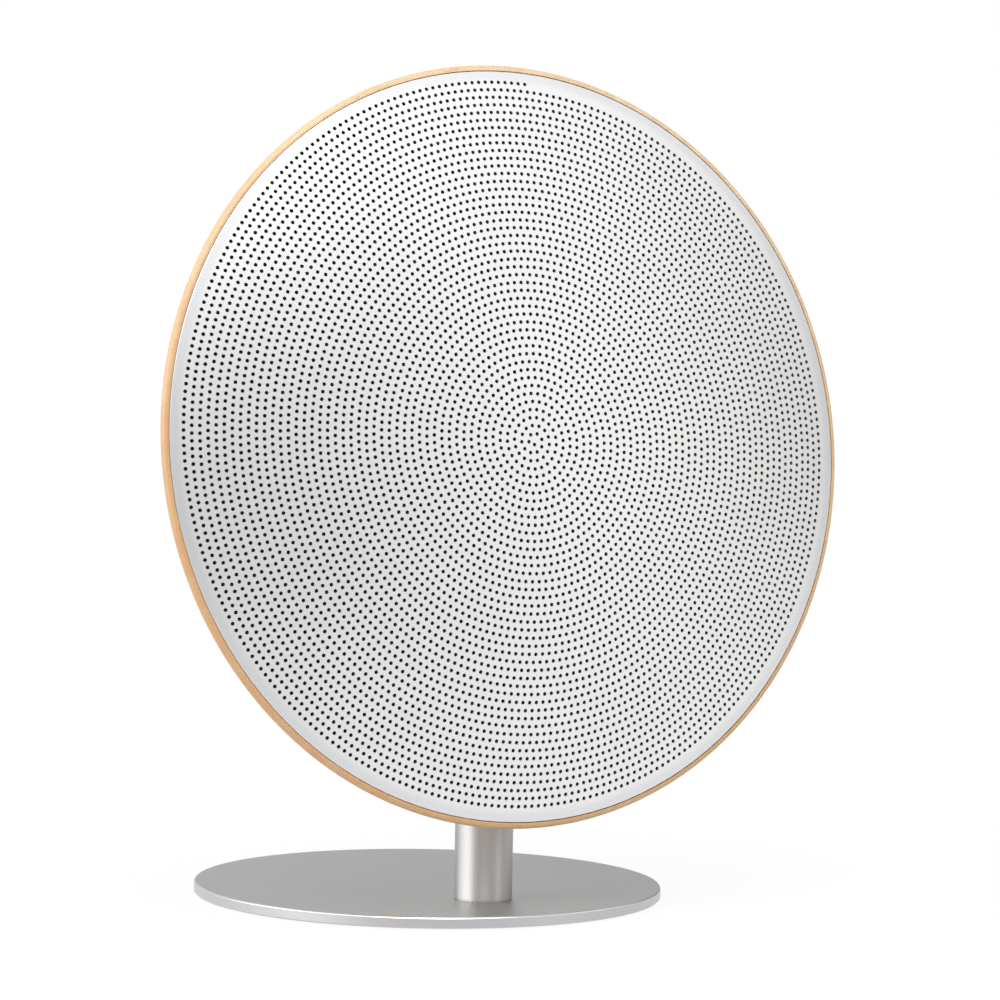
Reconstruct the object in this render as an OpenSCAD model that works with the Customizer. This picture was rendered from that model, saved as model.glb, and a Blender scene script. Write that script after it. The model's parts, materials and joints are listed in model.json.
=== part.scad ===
// Round tabletop speaker: a shallow bowl turned from pale wood, closed in front by a domed metal
// grille drilled along one spiral, and carried by a short round stem on a thin round base.
// Millimetres. +Z is up, the grille faces -Y, and the origin is the centre of the underside.
// Pieces of the head are drawn facing +Z in the head's own frame, whose origin is the centre of
// the circle where the dome meets its turned-back edge, and in_head() leans them into place.

/* [Head] */
// Outside diameter of the wooden rim
head_d = 200; // [192:1:220]
// Lean of the head backwards from upright, in degrees
head_tilt = 8.45; // [7:0.05:10]
// Height of the head's centre above the top of the base
head_height = 120.8; // [116:0.1:140]
// Distance of the head's centre in front of the base's centre
head_forward = 42.6; // [41:0.1:44]

/* [Wooden shell] */
// Width of the wooden rim beside the grille, and the radius of its rounded edge
rim_w = 1.5; // [1.2:0.1:2]
// Depth of the bowl behind its rounded edge
shell_depth = 28; // [27.5:0.5:32]
// Thickness of the bowl's wall
shell_wall = 4; // [3.5:0.1:4.5]
// Angle between the bowl's flank and its axis, just behind the rim
flank_angle = 35; // [32:1:38]
// Width of the ledge that carries the baffle
ledge_w = 11.5; // [11:0.1:12.5]
// Width of the step that carries the edge of the grille
seat_w = 2.9; // [2.6:0.1:3.2]

/* [Grille] */
// Height of the dome above the circle where it meets its edge
grille_dome = 11.9; // [10:0.1:14]
// Thickness of the sheet
grille_sheet = 0.8; // [0.6:0.1:1]
// Shadow gap between the edge of the grille and the wooden rim
grille_gap = 0.3; // [0.2:0.05:0.5]
// Depth of the turned-back edge
grille_edge = 1.8; // [1.6:0.1:2.2]
// Diameter of the holes. The real sheet has 0.95 mm holes in 45 turns, and this one has the same
// spiral and the same open share, with holes four times as large and as far apart.
hole_d = 3.8; // [3:0.1:4.4]
// Distance from one turn of the spiral of holes to the next
turn_pitch = 8.36; // [8:0.01:10]
// Distance from hole to hole along the spiral
hole_step = 7.9; // [7.6:0.01:10]
// Width of the plain band outside the last turn of holes
plain_band = 3.7; // [3.4:0.1:6]
// Thickness of the black cloth behind the holes
cloth_t = 0.4; // [0.3:0.1:0.6]
// Depth of the glue between the sheet and the cloth
cloth_glue = 0.25; // [0.2:0.05:0.4]
// Width of the ring that carries the grille and the cloth
ring_w = 4.7; // [4:0.1:5.4]

/* [Baffle] */
// Thickness of the plate that carries the loudspeaker units
baffle_t = 3; // [2.6:0.1:3.6]
// Thickness of the foam gasket under it
gasket_t = 0.5; // [0.3:0.1:0.8]
// Number of screws round the baffle
baffle_screws_n = 6; // [4:2:8]

/* [Full-range drivers] */
// Distance of each driver's flange from the wall of the bowl's cavity
driver_margin = 8; // [6:0.5:9]
// Height of the drivers above the head's centre
driver_y = 4; // [3:0.5:6]
// Radius of a driver's mounting flange
driver_r = 22; // [21.6:0.1:22.6]
// Radius of a driver's cone at its front edge
cone_r = 12.2; // [11.8:0.1:12.4]
// Radius of a driver's voice coil former, inside
coil_r = 5.95; // [5.6:0.05:6.2]
// Height of a driver's magnet ring
magnet_h = 3; // [2.5:0.1:4]
// Travel of the cones each way, which is also how far the winding overhangs the gap
cone_travel = 1; // [0.5:0.1:1.2]

/* [Passive radiator] */
// Distance of its flange from the wall of the bowl's cavity
radiator_margin = 1; // [0.5:0.1:2]
// Radius of its mounting flange
radiator_r = 27; // [26.6:0.1:27.6]
// Radius of its moving plate
radiator_plate_r = 16.4; // [15.6:0.1:16.8]

/* [Stand] */
// Diameter of the base
base_d = 125.8; // [118:0.1:140]
// Thickness of the base at its edge
base_t = 3; // [2.8:0.1:5]
// Width of the bright chamfer on the base's upper edge
base_chamfer = 0.35; // [0.2:0.05:0.6]
// Diameter of the stem
stem_d = 15.4; // [14.8:0.1:15.8]
// Distance of the stem's axis in front of the base's centre
stem_forward = 31.4; // [30:0.1:32]
// Diameter of the spigot at the top of the stem
spigot_d = 10; // [9:0.1:11]
// Length of the spigot
spigot_l = 17; // [14:0.5:20]
// Thickness of the foot pad
pad_t = 1.4; // [1.2:0.1:2]
// Depth of the recess that holds the foot pad
pad_recess = 0.9; // [0.7:0.1:1]
// Width of the base's rim outside the foot pad
pad_margin = 6.5; // [4:0.1:10]

/* [Port plate] */
// Length of the plate in the back of the bowl
port_l = 72; // [71:0.5:76]
// Width of the plate
port_w = 22; // [21:0.5:24]
// Height of the plate above the head's centre
port_y = 18; // [16:0.5:19]
// Diameter of the push buttons
button_d = 7; // [6:0.1:7.6]
// Travel of a button
button_travel = 0.5; // [0.3:0.1:0.5]

/* [Electronics] */
// Length of the main board
board_l = 62; // [62:1:66]
// Width of the main board
board_w = 26; // [26:1:30]
// Length of the battery pack
battery_l = 32; // [28:0.5:36]
// Width of the battery pack
battery_w = 21; // [18:0.5:24]
// Thickness of the battery pack
battery_t = 8; // [6:0.1:8.2]

/* [Hidden] */

$fn = 96;
// Clearance between pieces that are glued or laid together
fit = 0.1;
// Clearance between a screw and its hole
screw_fit = 0.05;
// Clearance round pieces that drop into a pocket
pocket_fit = 0.2;

// Head, from the front backwards
head_r = head_d / 2;
lip_r = head_r - rim_w;
grille_r = lip_r - grille_gap;
dome_r = (grille_r * grille_r + grille_dome * grille_dome) / (2 * grille_dome);
dome_z = grille_dome - dome_r;
seat_z = -grille_edge;
pocket_r = lip_r - seat_w;
baffle_back = seat_z - baffle_t;
ledge_z = baffle_back - gasket_t;
cavity_r = pocket_r - ledge_w;
back_z = -rim_w - shell_depth;
inner_back = back_z + shell_wall;
flank_start = [lip_r + rim_w * cos(flank_angle), -rim_w - rim_w * sin(flank_angle)];
flank_r = (flank_start[1] - back_z) / (1 - sin(flank_angle));
flat_r = flank_start[0] - flank_r * cos(flank_angle);
flank_z = back_z + flank_r;
inner_flank_r = flank_r - shell_wall;

// Stand, from the floor upwards
pad_proud = pad_t - pad_recess;
base_r = base_d / 2;
base_top = pad_proud + base_t;
pad_r = base_r - pad_margin;
stem_r = stem_d / 2;
spigot_r = spigot_d / 2;
head_z = base_top + head_height;
stem_back = head_forward - stem_forward;
shoulder_y = -33;
washer_t = 0.8;
boss_wall = 4.5;
base_screw_r = 2.5;
base_screw_head_r = 4.7;
base_screw_l = 14;

// Height above the floor at which the stem's axis passes the head's own height y
function stem_z(y) = head_z + (y - stem_back * sin(head_tilt)) / cos(head_tilt);
// Depth of the stem's axis in the head at the head's own height y
function stem_depth(y) = (y * sin(head_tilt) - stem_back) / cos(head_tilt);
// Heights of the dome's two faces at a radius
function dome_out(r) = dome_z + sqrt(pow(dome_r, 2) - r * r);
function dome_in(r) = dome_z + sqrt(pow(dome_r - grille_sheet, 2) - r * r);
// Points of an arc about c, from angle a to angle b in n steps
function arc(c, r, a, b, n) =
  [for (i = [0:n]) let (w = a + (b - a) * i / n) [c[0] + r * cos(w), c[1] + r * sin(w)]];

shoulder_z = stem_z(shoulder_y);
stem_top = shoulder_z + spigot_l;
boss_z = shoulder_z + washer_t;
boss_r = spigot_r + boss_wall;

// Screws: [shank radius, head radius, head height]
m2 = [0.95, 1.7, 1];
m25 = [1.2, 2.1, 1.2];
m3 = [1.45, 2.6, 1.8];
baffle_screw_r = cavity_r + 4;
baffle_screw_l = 8.5;

// Bracket that holds the stem, behind the baffle
bracket_w = 30;
bracket_top = -6;
bracket_low = -36;
bracket_plate_t = 3;
bracket_screw_in = 4;
bracket_screw_x = 12.2;
set_screw_r = 2;
set_screw_y = shoulder_y + 10;

// Drivers, in their own frame: origin on the baffle's front face
driver_x = cavity_r - driver_margin - driver_r;
flange_t = 1.6;
glue_step = 0.8;
roll_r = 2;
film = 0.4;
land = 0.9;
roll_c = cone_r - 0.4 + roll_r;
frame_in = roll_c + roll_r - 0.2;
frame_step = frame_in + 2.6;
driver_hole_r = frame_step + 0.4;
basket_depth = 10.8;
basket_floor = 1.2;
basket_wall = 1.2;
spider_z = -6.4;
spider_r = frame_in - 2.4;
spider_ledge = 1.5;
vent_r = 1.9;
neck_z = -5.2;
skin = 0.5;
former_t = 0.2;
winding_t = 0.6;
former_r = coil_r + former_t;
winding_r = former_r + winding_t;
plate_gap_r = winding_r + 0.3;
pole_r = coil_r - 0.35;
top_plate_t = 1.8;
yoke_t = 2;
motor_seat_r = spider_r - spider_ledge + basket_wall;
motor_r = motor_seat_r - 1.3;
gap_z = -basket_depth - top_plate_t;
yoke_z = gap_z - magnet_h;
driver_screw_r = (frame_step + driver_r) / 2;
sides = [-1, 1];

// Passive radiator, in its own frame
radiator_y = cavity_r - radiator_margin - radiator_r;
radiator_roll_r = 2.4;
radiator_roll_c = radiator_plate_r - 0.2 + radiator_roll_r;
radiator_in = radiator_roll_c + radiator_roll_r - 0.2;
radiator_step = radiator_in + 2.4;
radiator_hole_r = radiator_in + 1.6;
radiator_skirt = 2.4;
radiator_screw_r = (radiator_step + radiator_r) / 2;

// Main board, above the drivers' motors
board_t = 1.6;
board_z = -15;
board_y = driver_y + motor_r + 3 + board_w / 2;
post_r = 2.5;
post_x = board_l / 2 - 5;
post_y = board_w / 2 - 4;
board_screw_l = 7;
chips_at = [[-12, 4], [2, 4]];
chip_w = 8;
chip_t = 1.2;
coils_at = [[-14, -7], [-6, -7], [4, -7]];
coil_w = 6.4;
coil_t = 3;
capacitors_at = [[12, -7], [18, -7]];
capacitor_r = 2.5;
capacitor_t = 4.4;
module_at = [15, 4];
module_l = 16;
module_w = 12;
module_t = 0.8;
can_t = 1.6;

// Battery, beside the bracket and under the left driver
pad_foam = 0.8;
strap_t = 1;
strap_w = 10;
strap_foot = 5;
strap_x = battery_l / 2 - strap_w / 2 - 2;
strap_y = battery_w / 2 + pocket_fit + strap_t;
strap_screw_y = strap_y + strap_foot / 2;
battery_at = [-bracket_w / 2 - 3 - battery_l / 2,
  driver_y - driver_hole_r - 1 - strap_foot - strap_y];
battery_z = baffle_back - pad_foam - battery_t;

// Port plate
port_flange_t = 1.2;
port_sink = 0.2;
port_out = back_z + port_sink;
port_floor = port_out + port_flange_t;
port_in = inner_back + 0.6;
port_step = 3;
neck_l = port_l - 4 * port_step;
neck_w = port_w - 2 * port_step;
port_screw_x = port_l / 2 - port_step;
port_screw_l = 3.4;
control_screw_l = 5.2;
button_r = button_d / 2;
button_fit = 0.1;
button_proud = 0.6;
button_lip = 0.8;
button_lip_t = 0.75;
switch_gap = button_travel + 0.1;
control_t = 1.2;
control_z = port_in + 3.3;
control_post_r = 2.2;
control_post_x = neck_l / 2 - 2.5;
socket_l = 9.2;
socket_w = 3.4;
light_r = 1;
// The buttons, the light and the socket stand in one row with even gaps between the two posts
button_lip_r = button_r + button_lip;
row_l = 2 * (control_post_x - control_post_r);
row_gap = (row_l - 6 * button_lip_r - 2 * light_r - socket_l) / 6;
button_step = row_gap + 2 * button_lip_r;
button_x = [for (i = [0:2]) row_gap + button_lip_r + i * button_step - row_l / 2];
light_x = button_x[2] + button_lip_r + row_gap + light_r;
socket_x = light_x + light_r + row_gap + socket_l / 2;

wood = "burlywood";
satin = "silver";
steel = "dimgray";
black = [0.12, 0.12, 0.13];

module in_head() {
  translate([0, -head_forward, head_z]) rotate([90 - head_tilt, 0, 0]) children();
}

// A piece placed on one driver: side -1 is the left one, seen from the front
module at_driver(side) {
  in_head() translate([side * driver_x, driver_y, seat_z]) children();
}

module at_radiator() {
  in_head() translate([0, radiator_y, seat_z]) children();
}

module at_port(x = 0) {
  in_head() translate([x, port_y, 0]) children();
}

module on_stem(z) {
  translate([0, -stem_forward, z]) children();
}

module ring(r_out, r_in, z0, z1) {
  translate([0, 0, z0]) difference() {
    cylinder(r = r_out, h = z1 - z0);
    translate([0, 0, -1]) cylinder(r = r_in, h = z1 - z0 + 2);
  }
}

// A cylinder between two heights
module rod(r, z0, z1) {
  translate([0, 0, z0]) cylinder(r = r, h = z1 - z0);
}

// A block centred on the axis between two heights
module block(l, w, z0, z1) {
  translate([-l / 2, -w / 2, z0]) cube([l, w, z1 - z0]);
}

// A bar with round ends, centred on the axis between two heights
module obround(l, w, z0, z1) {
  block(l - w, w, z0, z1);
  for (s = sides) translate([s * (l - w) / 2, 0, 0]) rod(w / 2, z0, z1);
}

// Pan-head screw: its seat is at z0, and its tip points down unless up is true
module pan_screw(size, z0, l, up = false) {
  translate([0, 0, z0]) mirror([0, 0, up ? 1 : 0]) {
    rod(size[0], -l, 0);
    difference() {
      rod(size[1], 0, size[2]);
      block(size[1] * 1.3, size[1] * 0.3, size[2] * 0.5, size[2] + 1);
      block(size[1] * 0.3, size[1] * 1.3, size[2] * 0.5, size[2] + 1);
    }
  }
}

// Flush screw: the rim of its head is at z0, with a cross recess
module flush_screw(size, z0, l, up = false) {
  translate([0, 0, z0]) mirror([0, 0, up ? 1 : 0]) difference() {
    union() {
      translate([0, 0, -size[2]]) cylinder(r1 = size[0], r2 = size[1], h = size[2]);
      rod(size[0], -l, -size[2] / 2);
    }
    block(size[1] * 1.1, size[1] * 0.3, -size[2] * 0.6, 1);
    block(size[1] * 0.3, size[1] * 1.1, -size[2] * 0.6, 1);
  }
}

// The hole that a flush screw drops into
module flush_hole(size, z0, l, up = false) {
  translate([0, 0, z0]) mirror([0, 0, up ? 1 : 0]) {
    translate([0, 0, -size[2]])
      cylinder(r1 = size[0] + screw_fit, r2 = size[1] + screw_fit, h = size[2]);
    rod(size[0] + screw_fit, -l, -size[2] / 2);
    rod(size[1] + screw_fit, 0, 1);
  }
}

module foot_pad() {
  color(black) rod(pad_r - pocket_fit, 0, pad_t);
}

module base_plate() {
  top = base_top - base_chamfer;
  color(satin) difference() {
    translate([0, 0, pad_proud]) rotate_extrude(convexity = 4) polygon([
      [0, 0], [base_r - base_chamfer, 0], [base_r, base_chamfer],
      [base_r, top - pad_proud], [base_r - base_chamfer, base_t], [0, base_t]]);
    rod(pad_r, pad_proud - 1, pad_t);
    on_stem(0) {
      rod(base_screw_r + screw_fit, 0, base_top + 1);
      translate([0, 0, pad_t])
        cylinder(r1 = base_screw_head_r + screw_fit, r2 = base_screw_r + screw_fit,
                 h = base_top - pad_t - 0.1);
    }
  }
}

module base_screw() {
  head_h = base_top - pad_t - 0.1;
  color(steel) on_stem(pad_t) difference() {
    union() {
      cylinder(r1 = base_screw_head_r, r2 = base_screw_r, h = head_h);
      rod(base_screw_r, head_h / 2, base_screw_l);
    }
    translate([0, 0, -1]) cylinder(r = 1.75, h = 2.2, $fn = 6);
  }
}

// The stem: foot relief, tapped foot, shoulder and spigot
module stem() {
  relief = 0.25;
  color(satin) on_stem(0) difference() {
    rotate_extrude() polygon([
      [0, base_top], [stem_r - relief, base_top], [stem_r - relief, base_top + relief],
      [stem_r, base_top + 2 * relief], [stem_r, shoulder_z], [spigot_r, shoulder_z],
      [spigot_r, stem_top - 1], [spigot_r - 1, stem_top], [0, stem_top]]);
    rod(base_screw_r + screw_fit, base_top - 1, pad_t + base_screw_l + 1);
  }
}

module stem_washer() {
  color(black) on_stem(0)
    ring(stem_r - 0.2, spigot_r + fit, shoulder_z, shoulder_z + washer_t);
}

bracket_screws_at = [for (x = sides, y = [bracket_low + bracket_screw_in,
  bracket_top - bracket_screw_in]) [bracket_screw_x * x, y]];

// Cast bracket: a plate on the back of the baffle and a blind boss for the spigot
module stem_bracket() {
  color(satin) difference() {
    intersection() {
      union() {
        in_head() translate([-bracket_w / 2, bracket_low, baffle_back - bracket_plate_t])
          cube([bracket_w, bracket_top - bracket_low, bracket_plate_t]);
        on_stem(0) rod(boss_r, boss_z, stem_top + 3);
      }
      in_head() rod(head_r, inner_back + 0.3, baffle_back);
    }
    on_stem(0) rod(spigot_r + screw_fit, boss_z - 1, stem_top + 0.3);
    in_head() {
      for (p = bracket_screws_at) translate(p)
        rod(m3[0] + 0.1, baffle_back - bracket_plate_t - 1, baffle_back + 1);
      translate([0, set_screw_y, 0])
        rod(set_screw_r + screw_fit, inner_back, stem_depth(set_screw_y));
    }
    on_stem(0) rod(stem_r + 0.5, shoulder_z - 20, boss_z);
  }
}

module bracket_screws() {
  color(steel) in_head() for (p = bracket_screws_at) translate(p)
    pan_screw(m3, baffle_back - bracket_plate_t, bracket_plate_t + baffle_t - 0.6, true);
}

module stem_set_screw() {
  slant = set_screw_r * sin(head_tilt);
  z1 = stem_depth(set_screw_y) - spigot_r / cos(head_tilt) - slant - 0.1;
  color(steel) in_head() translate([0, set_screw_y, 0]) difference() {
    rod(set_screw_r, inner_back + 0.4, z1);
    rod(1, inner_back - 1, inner_back + 2);
  }
}

module shell_profile() {
  n = 14;
  polygon(concat(
    [[0, back_z]],
    arc([flat_r, flank_z], flank_r, -90, -flank_angle, n),
    arc([lip_r, -rim_w], rim_w, -flank_angle + 10, 90, n),
    [[lip_r, seat_z], [pocket_r, seat_z], [pocket_r, ledge_z], [cavity_r, ledge_z]],
    arc([flat_r, flank_z], inner_flank_r, -acos((cavity_r - flat_r) / inner_flank_r), -90, n),
    [[0, inner_back]]));
}

module wood_shell() {
  color(wood) difference() {
    in_head() difference() {
      rotate_extrude(convexity = 6, $fn = 180) shell_profile();
      for (i = [1:baffle_screws_n]) rotate(i * 360 / baffle_screws_n)
        translate([baffle_screw_r, 0])
          rod(m3[0] + screw_fit, seat_z - baffle_screw_l - 0.5, ledge_z + 1);
      translate([0, port_y]) {
        obround(port_l + 2 * pocket_fit, port_w + 2 * pocket_fit, back_z - 1, port_floor);
        obround(neck_l + 2 * pocket_fit, neck_w + 2 * pocket_fit, back_z, inner_back + 1);
        for (s = sides) translate([s * port_screw_x, 0])
          rod(m25[0] + screw_fit, back_z, inner_back - 0.2);
      }
    }
    on_stem(0) rod(stem_r + pocket_fit, base_top, shoulder_z + 1);
  }
}

module baffle() {
  color(black) in_head() difference() {
    union() {
      rod(pocket_r - pocket_fit, baffle_back, seat_z);
      for (x = sides, y = sides) translate([x * post_x, board_y + y * post_y])
        rod(post_r, board_z + board_t, baffle_back);
    }
    for (s = sides) translate([s * driver_x, driver_y]) {
      rod(driver_hole_r, baffle_back - 1, seat_z + 1);
      for (a = [45:90:315]) rotate(a) translate([driver_screw_r, 0])
        rod(m2[0] + screw_fit, baffle_back - 1, seat_z + 1);
    }
    translate([0, radiator_y]) {
      rod(radiator_hole_r, baffle_back - 1, seat_z + 1);
      for (a = [45:90:315]) rotate(a) translate([radiator_screw_r, 0])
        rod(m2[0] + screw_fit, baffle_back - 1, seat_z + 1);
    }
    for (i = [1:baffle_screws_n]) rotate(i * 360 / baffle_screws_n)
      translate([baffle_screw_r, 0]) flush_hole(m3, seat_z, baffle_t + 1);
    for (p = bracket_screws_at) translate(p)
      rod(m3[0] + screw_fit, baffle_back - 1, seat_z - 0.4);
    for (x = sides, y = sides) translate([x * post_x, board_y + y * post_y])
      rod(m25[0] + screw_fit, board_z, baffle_back + 0.5);
    for (y = sides) translate(battery_at) translate([strap_x, y * strap_screw_y])
      rod(m2[0] + screw_fit, baffle_back - 1, seat_z - 0.4);
  }
}

module baffle_gasket() {
  color(black) in_head() difference() {
    ring(pocket_r - pocket_fit, cavity_r + 0.5, ledge_z, baffle_back);
    for (i = [1:baffle_screws_n]) rotate(i * 360 / baffle_screws_n)
      translate([baffle_screw_r, 0]) rod(m3[0] + 0.3, ledge_z - 1, baffle_back + 1);
  }
}

module baffle_screws() {
  color(steel) in_head() for (i = [1:baffle_screws_n]) rotate(i * 360 / baffle_screws_n)
    translate([baffle_screw_r, 0]) flush_screw(m3, seat_z, baffle_screw_l);
}

// Rolled edge of the grille: it leaves the dome near its rim and turns back into the seat
module grille_edge_profile(r0) {
  bend = grille_sheet + 0.2;
  z0 = dome_out(grille_r - bend) - bend;
  polygon(concat(
    [[grille_r - grille_sheet, seat_z], [grille_r, seat_z]],
    arc([grille_r - bend, z0], bend, 0, 80, 5),
    [[r0, dome_out(r0)], [r0, dome_in(r0)],
     [grille_r - grille_sheet, dome_in(grille_r - grille_sheet)]]));
}

// Place k of the spiral: equal steps along an Archimedean spiral, clockwise from the front
module spiral_holes() {
  field_r = grille_r - plain_band;
  count = floor(PI * field_r * field_r / (turn_pitch * hole_step));
  for (k = [1:count]) {
    turn = sqrt(4 * PI * hole_step * (k - 0.4) / turn_pitch);
    r = turn_pitch * turn / (2 * PI);
    rotate(90 - turn * 180 / PI) translate([r, 0, dome_in(r)]) rotate([0, asin(r / dome_r), 0])
      rod(hole_d / 2, -grille_sheet, 3 * grille_sheet, $fn = 16);
  }
}

module grille() {
  joint_r = grille_r - 2;
  color([0.93, 0.93, 0.94]) in_head() difference() {
    union() {
      intersection() {
        difference() {
          translate([0, 0, dome_z]) sphere(dome_r, $fn = 240);
          translate([0, 0, dome_z]) sphere(dome_r - grille_sheet, $fn = 240);
        }
        rod(joint_r, seat_z, grille_dome + 1);
      }
      rotate_extrude($fn = 180) grille_edge_profile(joint_r);
    }
    spiral_holes();
  }
}

module grille_cloth() {
  out_r = dome_r - grille_sheet - cloth_glue;
  color(black) in_head() intersection() {
    difference() {
      translate([0, 0, dome_z]) sphere(out_r, $fn = 240);
      translate([0, 0, dome_z]) sphere(out_r - cloth_t, $fn = 240);
    }
    rod(grille_r - grille_sheet - pocket_fit - ring_w - pocket_fit, seat_z, grille_dome + 1);
  }
}

module grille_ring() {
  r1 = grille_r - grille_sheet - pocket_fit;
  r0 = r1 - ring_w;
  color(black) in_head() rotate_extrude($fn = 180)
    polygon([[r0, seat_z], [r1, seat_z], [r1, dome_in(r1) - cloth_glue],
      [r0, dome_in(r0) - cloth_glue]]);
}

// Driver basket: flange, glue step, tapered wall with six vents, spider ledge and motor seat
module driver_frame() {
  difference() {
    rotate_extrude() polygon([
      [driver_r, 0], [driver_r, flange_t], [frame_step, flange_t], [frame_step, glue_step],
      [frame_in, glue_step], [frame_in, -0.6], [spider_r + 0.3, spider_z],
      [spider_r - spider_ledge, spider_z], [spider_r - spider_ledge, basket_floor - basket_depth],
      [plate_gap_r + 1.5, basket_floor - basket_depth], [plate_gap_r + 1.5, -basket_depth],
      [motor_seat_r, -basket_depth], [frame_step - 1, -1], [frame_step, -1], [frame_step, 0]]);
    for (a = [0:60:300]) rotate(a + 15) translate([0, 0, spider_z / 2 - 0.4])
      rotate([0, 90, 0]) rod(vent_r, spider_r - spider_ledge, driver_r);
    for (a = [45:90:315]) rotate(a) translate([driver_screw_r, 0])
      rod(m2[0] + 0.15, -1, flange_t + 1);
  }
}

// Half-roll of film between two glued lands, on steps at height z
module half_roll(c, r, r_out, z) {
  mid = [c, z + film / 2];
  rotate_extrude() polygon(concat(
    [[c - r - land, z]], [[c - r, z]],
    arc(mid, r - film, 180, 0, 12),
    [[c + r, z], [r_out, z], [r_out, z + film], [c + r, z + film]],
    arc(mid, r, 0, 180, 12),
    [[c - r, z + film], [c - r - land, z + film]]));
}

module driver_surround() {
  half_roll(roll_c, roll_r, frame_step - fit, glue_step);
}

module driver_cone() {
  rotate_extrude() polygon([
    [cone_r, glue_step - skin], [cone_r, glue_step], [cone_r - 1.4, glue_step],
    [former_r + screw_fit, neck_z + skin], [former_r + screw_fit, neck_z],
    [cone_r - 1.2, glue_step - skin]]);
}

// Height of the cone's front face at a radius
function cone_face(r) =
  let (r0 = former_r + screw_fit, z0 = neck_z + skin)
  z0 + (r - r0) * (glue_step - z0) / (cone_r - 1.4 - r0);

module driver_dust_cap() {
  rim = former_r + 1.6;
  rise = 2.4;
  cap_r = (rim * rim + rise * rise) / (2 * rise);
  span = asin(rim / cap_r);
  z0 = cone_face(rim + film) + 0.05;
  translate([0, 0, z0]) rotate_extrude() polygon(concat(
    arc([0, rise - cap_r], cap_r, 90, 90 - span, 8),
    arc([0, rise - cap_r], cap_r + film, 90 - span, 90, 8)));
}

module driver_voice_coil() {
  top = neck_z + 0.6;
  winding_top = cone_travel - basket_depth;
  low = gap_z - cone_travel;
  rotate_extrude() polygon([
    [coil_r, top], [former_r, top], [former_r, winding_top], [winding_r, winding_top],
    [winding_r, low], [former_r, low], [former_r, low - 0.3], [coil_r, low - 0.3]]);
}

// Corrugated spider between the former and its ledge
module driver_spider() {
  r0 = former_r + screw_fit;
  cloth = 0.35;
  n = 24;
  wave = [for (i = [0:n]) let (u = i / n)
    [r0 + (spider_r - r0) * u, spider_z + cloth * (u < 0.75 ? 1 - cos(u * 1440) : 0)]];
  rotate_extrude() polygon(concat(
    wave, [for (i = [n:-1:0]) [wave[i][0], wave[i][1] + cloth]]));
}

module driver_top_plate() {
  ring(motor_r, plate_gap_r, gap_z, -basket_depth);
}

module driver_magnet() {
  ring(motor_r - 0.4, plate_gap_r + 0.9, yoke_z, gap_z);
}

module driver_yoke() {
  rod(motor_r, yoke_z - yoke_t, yoke_z);
  rod(pole_r, yoke_z - yoke_t, -basket_depth - 0.1);
}

module driver_screws() {
  color(steel) for (s = sides) at_driver(s) for (a = [45:90:315]) rotate(a)
    translate([driver_screw_r, 0]) pan_screw(m2, flange_t, flange_t + baffle_t - 0.3);
}

module left_frame() { color(steel) at_driver(-1) driver_frame(); }
module left_surround() { color(black) at_driver(-1) driver_surround(); }
module left_cone() { color("gray") at_driver(-1) driver_cone(); }
module left_dust_cap() { color("gray") at_driver(-1) driver_dust_cap(); }
module left_voice_coil() { color("peru") at_driver(-1) driver_voice_coil(); }
module left_spider() { color("goldenrod") at_driver(-1) driver_spider(); }
module left_top_plate() { color(satin) at_driver(-1) driver_top_plate(); }
module left_magnet() { color(steel) at_driver(-1) driver_magnet(); }
module left_yoke() { color(satin) at_driver(-1) driver_yoke(); }
module right_frame() { color(steel) at_driver(1) driver_frame(); }
module right_surround() { color(black) at_driver(1) driver_surround(); }
module right_cone() { color("gray") at_driver(1) driver_cone(); }
module right_dust_cap() { color("gray") at_driver(1) driver_dust_cap(); }
module right_voice_coil() { color("peru") at_driver(1) driver_voice_coil(); }
module right_spider() { color("goldenrod") at_driver(1) driver_spider(); }
module right_top_plate() { color(satin) at_driver(1) driver_top_plate(); }
module right_magnet() { color(steel) at_driver(1) driver_magnet(); }
module right_yoke() { color(satin) at_driver(1) driver_yoke(); }

module radiator_frame() {
  color(steel) at_radiator() difference() {
    rotate_extrude() polygon([
      [radiator_r, 0], [radiator_r, flange_t], [radiator_step, flange_t],
      [radiator_step, glue_step], [radiator_in, glue_step], [radiator_in, -radiator_skirt],
      [radiator_hole_r - 0.2, -radiator_skirt], [radiator_hole_r - 0.2, 0]]);
    for (a = [45:90:315]) rotate(a) translate([radiator_screw_r, 0])
      rod(m2[0] + 0.15, -1, flange_t + 1);
  }
}

module radiator_surround() {
  color(black) at_radiator()
    half_roll(radiator_roll_c, radiator_roll_r, radiator_step - fit, glue_step);
}

module radiator_plate() {
  color("gray") at_radiator() {
    rod(radiator_plate_r, glue_step - 1.6, glue_step);
    rod(radiator_plate_r * 0.6, -radiator_skirt - 0.6, glue_step - 1.5);
  }
}

module radiator_screws() {
  color(steel) at_radiator() for (a = [45:90:315]) rotate(a)
    translate([radiator_screw_r, 0]) pan_screw(m2, flange_t, flange_t + baffle_t - 0.3);
}

// Main board with its amplifier chips, coils and capacitors on the rear face
module main_board() {
  color("darkgreen") in_head() translate([0, board_y]) difference() {
    union() {
      block(board_l, board_w, board_z, board_z + board_t);
      for (p = chips_at) translate(p) block(chip_w, chip_w, board_z - chip_t, board_z);
      for (p = coils_at) translate(p) block(coil_w, coil_w, board_z - coil_t, board_z);
      for (p = capacitors_at) translate(p) rod(capacitor_r, board_z - capacitor_t, board_z);
    }
    for (x = sides, y = sides) translate([x * post_x, y * post_y])
      rod(m25[0] + 0.15, board_z - 1, board_z + board_t + 1);
  }
}

module board_screws() {
  color(steel) in_head() for (x = sides, y = sides)
    translate([x * post_x, board_y + y * post_y])
      pan_screw(m25, board_z, board_screw_l, true);
}

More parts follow.
